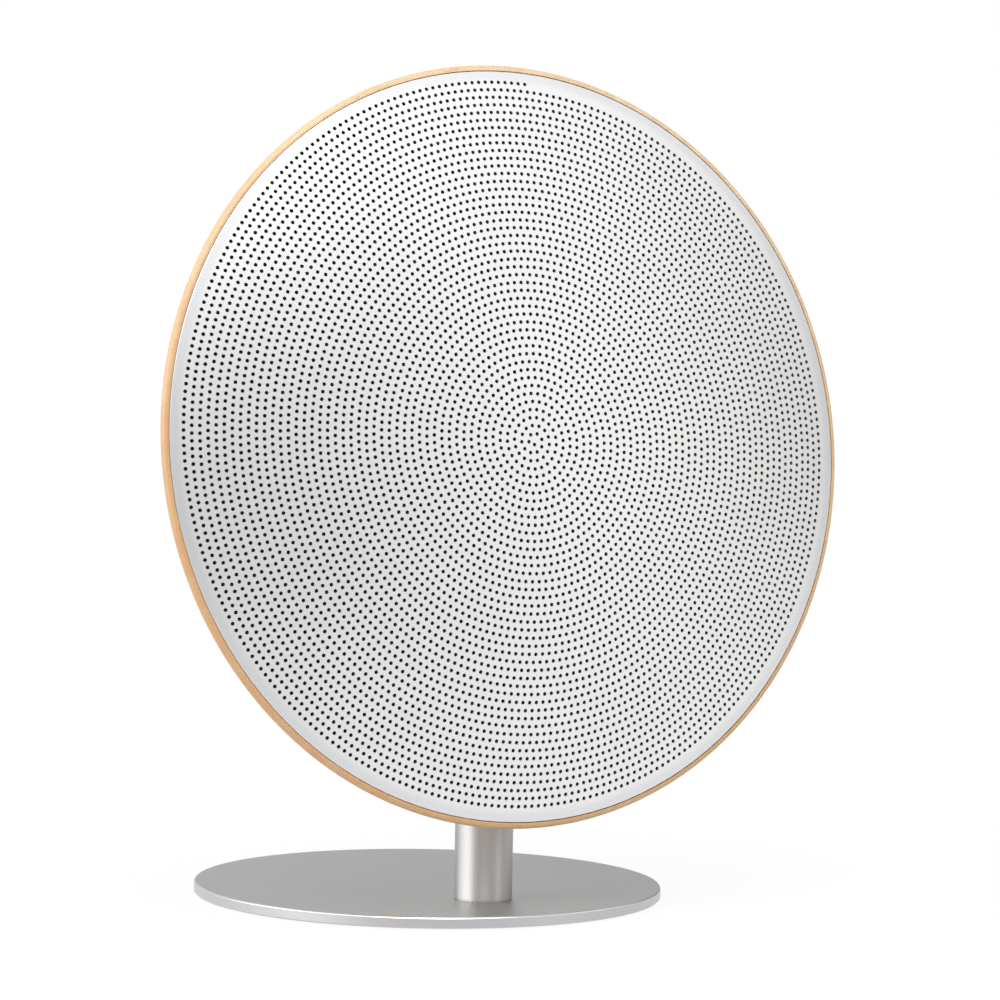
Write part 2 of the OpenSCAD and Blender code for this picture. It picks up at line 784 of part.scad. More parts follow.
module wireless_module() {
  color(satin) in_head() translate([0, board_y]) translate(module_at) {
    block(module_l, module_w, board_z - module_t, board_z);
    translate([module_l * 0.1, 0])
      block(module_l * 0.75, module_w * 0.88, board_z - module_t - can_t, board_z - module_t);
  }
}

module battery_pack() {
  corner = 2.5;
  color("royalblue") in_head() translate(battery_at) {
    block(battery_l, battery_w - 2 * corner, battery_z, battery_z + battery_t);
    block(battery_l - 2 * corner, battery_w, battery_z, battery_z + battery_t);
    for (x = sides, y = sides)
      translate([x * (battery_l / 2 - corner), y * (battery_w / 2 - corner)])
        rod(corner, battery_z, battery_z + battery_t);
  }
}

module battery_pad() {
  color(black) in_head() translate(battery_at)
    block(battery_l - 4, battery_w - 4, battery_z + battery_t, baffle_back);
}

// Steel strap over the battery, with a foot at each end on the baffle
module battery_strap() {
  low = battery_z - fit - strap_t;
  color(satin) in_head() translate(battery_at) translate([strap_x, 0]) difference() {
    union() {
      block(strap_w, 2 * strap_y, low, low + strap_t);
      for (s = sides) {
        translate([0, s * (strap_y - strap_t / 2)]) block(strap_w, strap_t, low, baffle_back);
        translate([0, s * strap_screw_y])
          block(strap_w, strap_foot, baffle_back - strap_t, baffle_back);
      }
    }
    for (s = sides) translate([0, s * strap_screw_y])
      rod(m2[0] + 0.15, baffle_back - strap_t - 1, baffle_back + 1);
  }
}

module strap_screws() {
  color(steel) in_head() for (s = sides)
    translate(battery_at) translate([strap_x, s * strap_screw_y])
      pan_screw(m2, baffle_back - strap_t, strap_t + baffle_t - 0.6, true);
}

// Plate set into the back of the bowl, with bores for the buttons, the light and the socket
module port_plate() {
  color(black) at_port() difference() {
    union() {
      obround(port_l, port_w, port_out, port_floor);
      obround(neck_l, neck_w, port_floor - 0.1, port_in);
      for (s = sides) translate([s * control_post_x, 0]) rod(control_post_r, port_in - 0.1, control_z);
    }
    for (x = button_x) translate([x, 0])
      rod(button_r + button_fit, port_out - 1, port_in + 1);
    translate([light_x, 0]) rod(light_r + screw_fit, port_out - 1, port_in + 1);
    translate([socket_x, 0])
      obround(socket_l + 0.2, socket_w + 0.2, port_out - 1, port_in + 1);
    for (s = sides) {
      translate([s * port_screw_x, 0]) flush_hole(m25, port_out, 3, true);
      translate([s * control_post_x, 0]) rod(m2[0] + screw_fit, port_in - 2, control_z + 1);
    }
  }
}

module port_screws() {
  color(steel) for (s = sides) at_port(s * port_screw_x)
    flush_screw(m25, port_out, port_screw_l, true);
}

// Small board behind the port plate, with a key switch under each button
module control_board() {
  color("darkgreen") at_port() difference() {
    union() {
      block(neck_l - 1, neck_w - 1, control_z, control_z + control_t);
      for (x = button_x) translate([x, 0]) {
        block(5, 5, control_z - 1.2, control_z);
        rod(1.5, port_in + fit / 2 + button_lip_t + switch_gap, control_z - 1);
      }
    }
    for (s = sides) translate([s * control_post_x, 0])
      rod(m2[0] + 0.15, control_z - 1, control_z + control_t + 1);
  }
}

module control_board_screws() {
  color(steel) for (s = sides) at_port(s * control_post_x)
    pan_screw(m2, control_z + control_t, control_screw_l);
}

// Push button: a dished cap, and a lip that stops it behind the plate
module button(x) {
  lip_z = port_in + fit / 2;
  dish_r = 12;
  color(black) at_port(x) difference() {
    union() {
      rod(button_r, port_out - button_proud, lip_z + 0.1);
      rod(button_lip_r, lip_z, lip_z + button_lip_t);
    }
    translate([0, 0, port_out - button_proud - dish_r + 0.3]) sphere(dish_r);
  }
}

module power_button() { button(button_x[0]); }
module volume_down_button() { button(button_x[1]); }
module volume_up_button() { button(button_x[2]); }

// Charging socket: an oval metal shell with a floor and a contact tongue
module charging_socket() {
  color(satin) at_port(socket_x) {
    difference() {
      obround(socket_l, socket_w, port_out + 0.4, control_z);
      obround(socket_l - 0.7, socket_w - 0.7, port_out - 1, control_z - 1.2);
    }
    block(6.6, 0.7, port_out + 1.2, control_z - 1);
  }
}

module status_light() {
  color("white") at_port(light_x) rod(light_r, port_out, control_z);
}

foot_pad();
base_plate();
base_screw();
stem();
stem_washer();
stem_bracket();
bracket_screws();
stem_set_screw();
wood_shell();
baffle();
baffle_gasket();
baffle_screws();
grille();
grille_cloth();
grille_ring();
left_frame();
left_surround();
left_cone();
left_dust_cap();
left_voice_coil();
left_spider();
left_top_plate();
left_magnet();
left_yoke();
right_frame();
right_surround();
right_cone();
right_dust_cap();
right_voice_coil();
right_spider();
right_top_plate();
right_magnet();
right_yoke();
driver_screws();
radiator_frame();
radiator_surround();
radiator_plate();
radiator_screws();
main_board();
board_screws();
wireless_module();
battery_pack();
battery_pad();
battery_strap();
strap_screws();
port_plate();
port_screws();
control_board();
control_board_screws();
power_button();
volume_down_button();
volume_up_button();
charging_socket();
status_light();
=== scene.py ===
"""A round tabletop speaker: a turned beech bowl, a perforated metal dome, a stem and a base.

Sizes are in millimetres, and the finished pieces in metres. +Z is up, the grille faces -Y, and
the origin is the centre of the underside. Pieces of the head are drawn in the head's own frame,
whose Z axis points out of the grille and whose origin is the centre of the bowl's front plane.
"""

import json
import logging
import math
from dataclasses import dataclass
from enum import Enum
from typing import Callable, Sequence, Union

import bmesh
import bpy
from mathutils import Matrix, Vector


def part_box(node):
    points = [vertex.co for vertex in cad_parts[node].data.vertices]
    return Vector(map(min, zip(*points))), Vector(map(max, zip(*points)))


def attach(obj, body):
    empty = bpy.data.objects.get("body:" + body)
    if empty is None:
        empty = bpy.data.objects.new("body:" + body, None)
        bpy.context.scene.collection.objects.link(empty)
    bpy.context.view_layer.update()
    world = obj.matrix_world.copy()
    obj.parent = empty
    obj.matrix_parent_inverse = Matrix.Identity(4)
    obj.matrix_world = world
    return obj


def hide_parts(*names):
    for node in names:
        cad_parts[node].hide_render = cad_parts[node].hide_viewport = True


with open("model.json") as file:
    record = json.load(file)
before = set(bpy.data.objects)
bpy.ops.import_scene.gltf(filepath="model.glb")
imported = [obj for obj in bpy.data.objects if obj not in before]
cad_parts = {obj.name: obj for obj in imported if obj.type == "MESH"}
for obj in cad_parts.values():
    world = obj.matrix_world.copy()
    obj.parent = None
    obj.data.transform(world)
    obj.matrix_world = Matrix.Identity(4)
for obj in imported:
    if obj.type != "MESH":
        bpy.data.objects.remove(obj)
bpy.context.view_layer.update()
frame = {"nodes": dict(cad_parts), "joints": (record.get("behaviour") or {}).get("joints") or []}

log = logging.getLogger("speaker")

MM = 0.001
TURN = 2 * math.pi
WHITE = (1.0, 1.0, 1.0)
DOME = 411.1  # radius of the dome's front
CENTRE = 11.9 - DOME  # height of the dome's centre in the head's frame
SEAT = -1.8  # depth of the seat of the grille and the baffle behind the front plane
STEM_FORWARD = 31.4  # distance of the stem in front of the base's centre
PLATE_UP = 18.0  # height of the rear plate's middle above the head's centre
BAFFLE_RING = 88.1  # radius of the ring of the baffle's screws
PORT_SCREWS = 33.0  # distance of the rear plate's screws from its middle
WELD = 0.002  # distance within which two points of a mesh are one

Colour = tuple[float, float, float]
Input = Union["Sock", float, int, bool, str, Sequence, bpy.types.ID]


class Graph:
    """A node tree that is built by expressions and by one method for every other node."""

    def __init__(self, tree: bpy.types.NodeTree) -> None:
        """Wraps a shader or geometry tree."""
        self.tree = tree

    def add(self, kind: str, settings: dict | None = None, inputs: dict | None = None,
            output: int | str = 0) -> "Sock":
        """Adds a node, sets it up and fills its sockets.

        Args:
            kind: The node's type name.
            settings: Properties of the node, set first.
            inputs: Values or links, by socket name or number.
            output: The name or number of the socket to return.

        Returns:
            The chosen output socket, wrapped.
        """
        node = self.tree.nodes.new(kind)
        for key, value in (settings or {}).items():
            setattr(node, key, value)
        for key, value in (inputs or {}).items():
            self.put(node.inputs[key], value)
        return Sock(self, node.outputs[output])

    def put(self, socket: bpy.types.NodeSocket, value: Input) -> None:
        """Links an input socket, or sets its own value.

        Args:
            socket: The input socket.
            value: A wrapped output, a list of them or a plain value.
        """
        for link in value if isinstance(value, list) else [value]:
            if isinstance(link, Sock):
                self.tree.links.new(link.socket, socket)
            elif socket.type == "RGBA" and len(link) == 3:
                socket.default_value = (*link, 1)
            else:
                socket.default_value = link

    def mix(self, factor: Input, low: Input, high: Input) -> "Sock":
        """Mixes two colours: a factor of 0 gives low and 1 gives high."""
        return self.add("ShaderNodeMix", {"data_type": "RGBA"}, {0: factor, 6: low, 7: high}, 2)

    def combine(self, x: Input, y: Input, z: Input) -> "Sock":
        """Makes a vector of three numbers."""
        return self.add("ShaderNodeCombineXYZ", None, {0: x, 1: y, 2: z})

    def polar(self, reach: "Sock", way: "Sock", height: Input = 0.0) -> "Sock":
        """Makes a place from its distance from the Z axis, its direction and its height."""
        return self.combine(reach * way.maths("COSINE"), reach * way.maths("SINE"), height)

    def join(self, *shapes: "Sock") -> "Sock":
        """Joins shapes in a geometry tree."""
        return self.add("GeometryNodeJoinGeometry", None, {0: list(shapes)})

    def shape(self, result: "Sock", material: bpy.types.Material) -> None:
        """Ends a geometry tree: one real mesh in one material.

        Args:
            result: The shape that the tree makes.
            material: Its material.
        """
        real = self.add("GeometryNodeRealizeInstances", None, {"Geometry": result})
        made = self.add("GeometryNodeSetMaterial", None, {"Geometry": real, "Material": material})
        self.tree.interface.new_socket("Geometry", in_out="OUTPUT",
                                       socket_type="NodeSocketGeometry")
        self.finish("NodeGroupOutput", made, "Geometry")

    def finish(self, kind: str, result: "Sock", socket: str) -> None:
        """Ends the tree in an output node of a kind, by one of its sockets."""
        self.put(self.tree.nodes.new(kind).inputs[socket], result)

    def sizes(self, values: dict[str, float | int]) -> dict[str, "Sock"]:
        """Gives a geometry tree one named input for each size.

        Args:
            values: Default values by name.

        Returns:
            The inputs inside the tree, by name.
        """
        node = self.tree.nodes.new("NodeGroupInput")
        for name, value in values.items():
            kind = "NodeSocketInt" if isinstance(value, int) else "NodeSocketFloat"
            item = self.tree.interface.new_socket(name, in_out="INPUT", socket_type=kind)
            item.default_value = value
        return {name: Sock(self, node.outputs[name]) for name in values}


def operator(operation: str, swapped: bool = False) -> Callable[["Sock", Input], "Sock"]:
    """Makes an operator of the socket class, or its reflected form.

    Args:
        operation: The Math or Vector Math node's operation.
        swapped: Whether the socket is the second operand.

    Returns:
        The operator's method.
    """
    def method(self: "Sock", value: Input) -> "Sock":
        """Adds the operator's node."""
        return self.node(operation, *((value, self) if swapped else (self, value)))
    return method


class Sock:
    """An output socket whose operators add Math or Vector Math nodes to its tree."""

    def __init__(self, graph: Graph, socket: bpy.types.NodeSocket) -> None:
        """Wraps a node's output socket."""
        self.graph, self.socket = graph, socket

    __add__, __radd__ = operator("ADD"), operator("ADD", swapped=True)
    __sub__, __rsub__ = operator("SUBTRACT"), operator("SUBTRACT", swapped=True)
    __mul__, __rmul__ = operator("MULTIPLY"), operator("MULTIPLY", swapped=True)
    __truediv__, __rtruediv__ = operator("DIVIDE"), operator("DIVIDE", swapped=True)
    __pow__, __rpow__ = operator("POWER"), operator("POWER", swapped=True)

    @property
    def is_vector(self) -> bool:
        """Tells whether the socket carries a vector."""
        return self.socket.type == "VECTOR"

    def other(self, name: str) -> "Sock":
        """Gives another output of the same node."""
        return Sock(self.graph, self.socket.node.outputs[name])

    def axis(self, name: str) -> "Sock":
        """Gives the X, Y or Z of a vector."""
        return self.graph.add("ShaderNodeSeparateXYZ", None, {0: self}, name)

    def rise(self, low: float, high: float, start: float = 0.0, even: bool = False) -> "Sock":
        """Climbs from start to 1 between two values of the socket, smoothly or evenly."""
        return self.graph.add(
            "ShaderNodeMapRange", {"interpolation_type": "LINEAR" if even else "SMOOTHSTEP"},
            {"Value": self, "From Min": low, "From Max": high, "To Min": start})

    def maths(self, operation: str, *values: Input) -> "Sock":
        """Adds a Math or Vector Math node with this socket as its first input."""
        return self.node(operation, self, *values)

    def node(self, operation: str, *values: Input) -> "Sock":
        """Adds the node for an operation on any mix of sockets and numbers.

        Args:
            operation: The node's operation.
            values: Its inputs in order.

        Returns:
            The node's result.
        """
        if not any(isinstance(v, Sock) and v.is_vector for v in values):
            return self.graph.add("ShaderNodeMath", {"operation": operation},
                                  dict(enumerate(values)))
        inputs = dict(enumerate(values))
        if operation == "MULTIPLY" and not self._all_vectors(values):
            operation = "SCALE"
            values = sorted(values, key=lambda v: not (isinstance(v, Sock) and v.is_vector))
            inputs = {0: values[0], 3: values[1]}
        output = "Value" if operation in ("LENGTH", "DOT_PRODUCT") else "Vector"
        return self.graph.add("ShaderNodeVectorMath", {"operation": operation}, inputs, output)

    @staticmethod
    def _all_vectors(values: Sequence[Input]) -> bool:
        """Tells whether every value is a vector."""
        return all(v.is_vector if isinstance(v, Sock) else hasattr(v, "__len__") for v in values)


def empty(owner: bpy.types.Material | bpy.types.World) -> Graph:
    """Empties the node tree of a material or a world.

    Args:
        owner: The material or the world.

    Returns:
        Its graph.
    """
    owner.use_nodes = True
    owner.node_tree.nodes.clear()
    return Graph(owner.node_tree)


@dataclass(frozen=True)
class HeadPose:
    """Where the leaning head stands, in millimetres.

    Attributes:
        tilt: Lean backwards from upright, in radians.
        forward: Distance of the head's centre in front of the base's centre.
        height: Height of the head's centre above the floor.
    """

    tilt: float
    forward: float
    height: float

    @classmethod
    def from_frame(cls, rise: float = 120.8, forward: float = 42.6) -> "HeadPose":
        """Reads the lean from a button's joint and the height from the base's top.

        Args:
            rise: Height of the head's centre above the top of the base.
            forward: Distance of the head's centre in front of the base's centre.

        Returns:
            The head's pose.
        """
        axis = next(j for j in frame["joints"] if j["name"] == "power_press")["axis"]
        tilt = math.atan2(abs(axis[2]), abs(axis[1]))
        return cls(tilt, forward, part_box("base_plate")[1].z / MM + rise)

    @property
    def matrix(self) -> Matrix:
        """The transform from the head's own frame to the object's frame."""
        place = Matrix.Translation((0, -self.forward, self.height))
        return place @ Matrix.Rotation(math.pi / 2 - self.tilt, 4, "X")


HEAD = HeadPose.from_frame()


class Space(Enum):
    """The frame that a pattern follows."""

    OBJECT = "object"
    HEAD = "head"


@dataclass(frozen=True)
class Finish:
    """What every finish has: a name, the record's slot and the frame of its pattern.

    Attributes:
        name: The material's name.
        slot: The slot in the record for pieces in this finish; not used.
        space: The frame in which its pattern is laid out.
    """

    name: str
    slot: str
    space: Space = Space.OBJECT

    def material(self) -> bpy.types.Material:
        """Builds the material once and gives it on every later call.

        Returns:
            The material.
        """
        made = bpy.data.materials.get(self.name)
        if made:
            return made
        made = bpy.data.materials.new(self.name)
        graph = empty(made)
        inputs = self.surface(graph, self.coords(graph))
        shader = graph.add("ShaderNodeBsdfPrincipled", None, inputs)
        graph.finish("ShaderNodeOutputMaterial", shader, "Surface")
        return made

    def coords(self, graph: Graph) -> Sock:
        """Gives object coordinates in millimetres, in the finish's frame.

        Args:
            graph: The material's graph.

        Returns:
            The coordinates.
        """
        place = graph.add("ShaderNodeTexCoord", output="Object") * (1 / MM)
        if self.space is Space.OBJECT:
            return place
        back = HEAD.matrix.inverted()
        return graph.add(
            "ShaderNodeMapping", {"vector_type": "POINT"},
            {"Vector": place, "Location": back.to_translation(), "Rotation": back.to_euler()})

    def surface(self, graph: Graph, place: Sock) -> dict:
        """Gives the inputs of the Principled shader.

        Args:
            graph: The material's graph.
            place: The coordinates in millimetres.

        Returns:
            Values or links by the shader's socket names.
        """
        raise NotImplementedError


def noise(graph: Graph, place: Sock, scale: float, detail: float = 2, rough: float = 0.5) -> Sock:
    """Gives a noise from 0 to 1, with scale features to a millimetre and rough finer octaves."""
    return graph.add("ShaderNodeTexNoise", {"noise_dimensions": "3D"},
                     {"Vector": place, "Scale": scale, "Detail": detail, "Roughness": rough})


def bump(graph: Graph, height: Sock, depth: float) -> Sock:
    """Turns a height from 0 to 1 into a bumped normal, depth millimetres deep."""
    return graph.add("ShaderNodeBump", None, {"Distance": depth * MM, "Height": height})


def shade(colour: Colour, share: float) -> Colour:
    """Darkens a colour to a share of itself."""
    return tuple(share * c for c in colour)


def off_axis(place: Sock) -> Sock:
    """Gives the distance of a place from the Z axis."""
    return (place * (1.0, 1.0, 0.0)).maths("LENGTH")


@dataclass(frozen=True)
class Metal(Finish):
    """Bare or anodised metal with a fine blasted or rolled grain.

    Attributes:
        colour: Its reflection colour.
        roughness: Middle roughness.
        spread: How far the roughness wanders.
        grain: Grains per millimetre.
        depth: Depth of the grain in millimetres.
        stretch: Stretch of the grain along X, Y and Z.
        turned: How far turning marks round Z draw a highlight out along Z.
    """

    colour: Colour = (0.8, 0.8, 0.8)
    roughness: float = 0.35
    spread: float = 0.12
    grain: float = 5.0
    depth: float = 0.01
    stretch: tuple[float, float, float] = (1.0, 1.0, 1.0)
    turned: float = 0.0

    def surface(self, graph: Graph, place: Sock) -> dict:
        """Gives a metallic surface whose grain shows in colour, roughness and relief.

        Args:
            graph: The material's graph.
            place: The coordinates in millimetres.

        Returns:
            Values or links by the shader's socket names.
        """
        grain = noise(graph, place * self.stretch, self.grain, 3, 0.6)
        patch = noise(graph, place, 0.05, 2)
        colour = graph.mix(grain * 0.6 + patch * 0.4, shade(self.colour, 0.86), self.colour)
        return {
            "Base Color": colour,
            "Metallic": 1.0,
            "Roughness": (grain - 0.5) * self.spread + self.roughness,
            "Normal": bump(graph, grain, self.depth),
            "Anisotropic": self.turned,
            "Anisotropic Rotation": 0.25,  # a quarter turn, from round Z to along it
        }


@dataclass(frozen=True)
class Disc(Metal):
    """Blasted metal, a turned rim and a cut chamfer round its top edge with a painted highlight.

    Attributes:
        radius: Radius from which the rim is turned.
        height: Height from which the chamfer starts.
        rim: Colour of the rim.
        cut_and_highlight: Colour of the chamfer: cut metal, lightened as a painted highlight.
    """

    radius: float = 62.53
    height: float = 3.1
    rim: Colour = (0.56, 0.56, 0.57)
    cut_and_highlight: Colour = (0.8, 0.8, 0.79)

    def surface(self, graph: Graph, place: Sock) -> dict:
        """Gives the blasted metal, the cut metal of the rim, and the chamfer with a painted
        highlight.

        Args:
            graph: The material's graph.
            place: The coordinates in millimetres.

        Returns:
            Values or links by the shader's socket names.
        """
        blasted = super().surface(graph, place)
        turned = off_axis(place).maths("GREATER_THAN", self.radius)
        cut = turned * place.axis("Z").maths("GREATER_THAN", self.height)
        face = graph.mix(turned, blasted["Base Color"], self.rim)
        # painted highlight: the chamfer's cut metal is given a lighter colour so that it shows as
        # a bright line
        blasted["Base Color"] = graph.mix(cut, face, self.cut_and_highlight)
        blasted["Roughness"] = blasted["Roughness"] - turned * 0.06 - cut * 0.14
        return blasted


@dataclass(frozen=True)
class Sheet(Metal):
    """Satin sheet whose holes darken towards its back, as painted shade inside them.

    Attributes:
        dome: Radius of the dome's front.
        centre: Height of the dome's centre in the head's frame.
        field: Plan radius within which the sheet is perforated.
        fade: Width over which the sheet passes into the plain band.
        skin: Depths between which the front's colour gives way to the painted shade of a hole.
        band: Colour of the plain band outside the holes.
        wall: Colour of the walls of the holes, darkened as painted shade.
    """

    dome: float = DOME
    centre: float = CENTRE
    field: float = 97.0
    fade: float = 2.2
    skin: tuple[float, float] = (0.13, 0.42)
    band: Colour = (0.775, 0.78, 0.79)
    wall: Colour = (0.34, 0.34, 0.345)

    def surface(self, graph: Graph, place: Sock) -> dict:
        """Gives the metal on the front and the painted shade on the walls of the holes.

        Args:
            graph: The material's graph.
            place: The coordinates in millimetres.

        Returns:
            Values or links by the shader's socket names.
        """
        front = super().surface(graph, place)
        depth = self.dome - (place - (0.0, 0.0, self.centre)).maths("LENGTH")
        across = off_axis(place)
        # painted shade: below the front, the walls of the holes darken with depth
        inside = depth.rise(*self.skin) * across.maths("LESS_THAN", self.field)
        rim = across.rise(self.field - self.fade, self.field)
        front["Base Color"] = graph.mix(rim, front["Base Color"], self.band)
        front["Base Color"] = graph.mix(inside, front["Base Color"], self.wall)
        front["Roughness"] = inside * 0.4 + front["Roughness"]
        return front


@dataclass(frozen=True)
class Plain(Finish):
    """Moulded plastic, rubber, foam or paper: one colour with a fine texture.

    Attributes:
        colour: Its colour.
        roughness: Middle roughness.
        grain: Grains per millimetre.
        depth: Depth of the grain in millimetres.
        fleck: How far the colour wanders, as a share.
    """

    colour: Colour = (0.02, 0.02, 0.022)
    roughness: float = 0.5
    grain: float = 4.0
    depth: float = 0.02
    fleck: float = 0.2

    def surface(self, graph: Graph, place: Sock) -> dict:
        """Gives a dielectric surface with a spark-eroded or pressed texture.

        Args:
            graph: The material's graph.
            place: The coordinates in millimetres.

        Returns:
            Values or links by the shader's socket names.
        """
        grain = noise(graph, place, self.grain, 3, 0.6)
        patch = noise(graph, place, 0.08, 2)
        dark = shade(self.colour, 1 - self.fleck)
        return {
            "Base Color": graph.mix(grain * 0.5 + patch * 0.5, dark, self.colour),
            "Roughness": (patch - 0.5) * 0.12 + self.roughness,
            "Normal": bump(graph, grain, self.depth),
        }


@dataclass(frozen=True)
class Beech(Finish):
    """Oiled pale beech with fine growth lines and short darker flecks.

    Attributes:
        pale: Colour of the wood at the top, lightened there as painted light from above.
        shaded_bottom: Colour of the wood at the bottom, darkened there as painted shade.
        deep: Colour of the growth lines.
        fleck: Colour of the ray flecks.
        roughness: Roughness between the growth lines.
        oil: Weight and roughness of the coat of oil.
        lie: Direction of the grain across the head, in degrees from +X.
        up: Direction in which the painted light rises, from the shaded bottom to the lit top.
        painted_top_light: Places along it between which it does.
        spread: Values of a noise, which keeps near its middle, that become 0 and 1.
    """

    pale: Colour = (0.86, 0.65, 0.40)
    shaded_bottom: Colour = (0.60, 0.385, 0.185)
    deep: Colour = (0.61, 0.335, 0.16)
    fleck: Colour = (0.42, 0.23, 0.11)
    roughness: float = 0.46
    oil: tuple[float, float] = (0.35, 0.3)
    lie: float = 35.0
    up: tuple[float, float, float] = (0.4, 0.92, 0.0)
    painted_top_light: tuple[float, float] = (-40.0, 95.0)
    spread: tuple[float, float] = (0.36, 0.64)

    def surface(self, graph: Graph, place: Sock) -> dict:
        """Gives wood whose grain runs across the bowl, as in a turned blank.

        Args:
            graph: The material's graph.
            place: The coordinates in millimetres.

        Returns:
            Values or links by the shader's socket names.
        """
        turned = graph.add("ShaderNodeVectorRotate", {"rotation_type": "Z_AXIS"},
                           {"Vector": place, "Angle": -math.radians(self.lie)})
        wander = noise(graph, turned * (0.3, 1.0, 1.0), 0.04, 3)
        bands = noise(graph, turned * (0.04, 1.0, 1.0) + wander * 6.0, 0.22, 3, 0.55)
        lines = noise(graph, turned * (0.05, 1.0, 1.0) + wander * 6.0, 1.6, 4, 0.6)
        # painted light: the wood and its growth lines turn lighter towards the top and darker
        # towards the bottom, as light falls from above
        painted_top_light = place.maths("DOT_PRODUCT", self.up).rise(*self.painted_top_light, even=True)
        early = graph.mix(painted_top_light, self.shaded_bottom, self.pale)
        late = graph.mix(painted_top_light * 0.6, self.deep, self.pale)
        grown = graph.mix(bands.rise(*self.spread), late, early)
        fine = graph.mix(lines.rise(*self.spread) * 0.45, grown, late)
        short = noise(graph, turned * (0.25, 1.6, 1.6), 1.7, 1)
        flecks = short.rise(0.63, 0.72, even=True)
        return {
            "Base Color": graph.mix(flecks * 0.55, fine, self.fleck),
            "Roughness": lines * -0.12 + self.roughness,
            "Coat Weight": self.oil[0],
            "Coat Roughness": self.oil[1],
            "Normal": bump(graph, lines, 0.03),
        }


@dataclass(frozen=True)
class Woven(Finish):
    """Plain woven cloth.

    Attributes:
        colour: Colour of the yarn.
        pitch: Distance from yarn to yarn in millimetres.
        roughness: Roughness of the yarn.
    """

    colour: Colour = (0.08, 0.08, 0.082)
    pitch: float = 0.4
    roughness: float = 0.9

    def surface(self, graph: Graph, place: Sock) -> dict:
        """Gives a plain weave, over and under in both directions.

        Args:
            graph: The material's graph.
            place: The coordinates in millimetres.

        Returns:
            Values or links by the shader's socket names.
        """
        turn = TURN / (2 * self.pitch)
        across, along = ((place.axis(name) * turn).maths("SINE") for name in "XY")
        weave = across * along * 0.5 + 0.5
        fuzz = noise(graph, place, 6.0, 3)
        return {
            "Base Color": graph.mix(weave * fuzz, shade(self.colour, 0.5), self.colour),
            "Roughness": self.roughness,
            "Normal": bump(graph, weave, 0.08),
        }


@dataclass(frozen=True)
class Board(Finish):
    """Printed circuit board: solder mask over copper tracks.

    Attributes:
        mask: Colour of the bare mask.
        copper: Colour of the mask over copper.
    """

    mask: Colour = (0.01, 0.07, 0.03)
    copper: Colour = (0.02, 0.16, 0.06)

    def surface(self, graph: Graph, place: Sock) -> dict:
        """Gives tracks as the cell borders of a square-ish pattern.

        Args:
            graph: The material's graph.
            place: The coordinates in millimetres.

        Returns:
            Values or links by the shader's socket names.
        """
        cells = graph.add("ShaderNodeTexVoronoi",
                          {"distance": "MANHATTAN", "feature": "F1"},
                          {"Vector": place, "Scale": 0.8, "Randomness": 0.8}, "Distance")
        tracks = cells.maths("PINGPONG", 0.12) * 8.0
        return {
            "Base Color": graph.mix(tracks.maths("MINIMUM", 1.0), self.mask, self.copper),
            "Roughness": tracks * 0.1 + 0.3,
            "Normal": bump(graph, tracks, 0.02),
        }


@dataclass(frozen=True)
class Winding(Finish):
    """Enamelled copper wire wound in close turns.

    Attributes:
        wire: Diameter of the wire in millimetres.
        colour: Colour of the enamelled copper.
    """

    wire: float = 0.12
    colour: Colour = (0.75, 0.33, 0.14)

    def surface(self, graph: Graph, place: Sock) -> dict:
        """Gives turns that follow one another along the coil's axis, with painted shade between
        them.

        Args:
            graph: The material's graph.
            place: The coordinates in millimetres.

        Returns:
            Values or links by the shader's socket names.
        """
        turns = (place.axis("Z") * (TURN / self.wire)).maths("SINE") * 0.5 + 0.5
        return {
            # painted shade: the colour darkens to half in the grooves between the turns
            "Base Color": graph.mix(turns, shade(self.colour, 0.5), self.colour),
            "Metallic": 0.9,
            "Roughness": turns * -0.1 + 0.4,
            "Normal": bump(graph, turns, 0.03),
        }


SILVER = Disc("blasted_base", "base_metal", colour=(0.575, 0.573, 0.57), roughness=0.42, grain=3.0)
STEM = Metal("turned_stem", "stem_metal", colour=(0.7, 0.7, 0.69), roughness=0.5, spread=0.06,
             grain=10.0, depth=0.003, stretch=(0.01, 0.01, 1.0), turned=0.92)
SHEET = Sheet("satin_sheet", "grille_metal", Space.HEAD, colour=(0.925, 0.925, 0.915),
              roughness=0.42)
BEECH = Beech("pale_beech", "wood", Space.HEAD)
CAST = Metal("cast_zinc", "cast_metal", colour=(0.5, 0.5, 0.51), roughness=0.55, depth=0.05)
SCREW = Metal("black_oxide_steel", "screw_steel", colour=(0.12, 0.12, 0.125), roughness=0.4)
MOTOR = Metal("zinc_plated_steel", "motor_steel", colour=(0.6, 0.61, 0.63), roughness=0.32)
BASKET = Metal("painted_steel", "basket_steel", colour=(0.09, 0.09, 0.095), roughness=0.5)
SHIELD = Metal("nickel_silver", "shield_metal", colour=(0.66, 0.64, 0.6), roughness=0.3)
MAGNET = Plain("ferrite", "magnet", colour=(0.035, 0.033, 0.035), roughness=0.6, depth=0.04)
RUBBER = Plain("foot_rubber", "foot_rubber", colour=(0.018, 0.018, 0.018), roughness=0.8)
SEAL = Plain("foam_rubber", "seal_rubber", colour=(0.015, 0.015, 0.016), roughness=0.85, grain=2.0,
             depth=0.08)
INNER = Plain("moulded_baffle", "inner_plastic", colour=(0.02, 0.02, 0.022), roughness=0.55)
PORT = Plain("moulded_port", "port_plastic", colour=(0.022, 0.022, 0.024), roughness=0.45)
BUTTON = Plain("moulded_button", "button_plastic", colour=(0.028, 0.028, 0.03), roughness=0.4)
CONE = Plain("pressed_paper", "cone", colour=(0.05, 0.05, 0.052), roughness=0.75, grain=1.5,
             depth=0.06)
WRAP = Plain("shrink_wrap", "battery_wrap", colour=(0.03, 0.1, 0.35), roughness=0.25, depth=0.01)
LIGHT = Plain("light_guide", "light_guide", colour=(0.85, 0.86, 0.88), roughness=0.2, fleck=0.04)
CLOTH = Woven("black_cloth", "cloth", Space.HEAD)
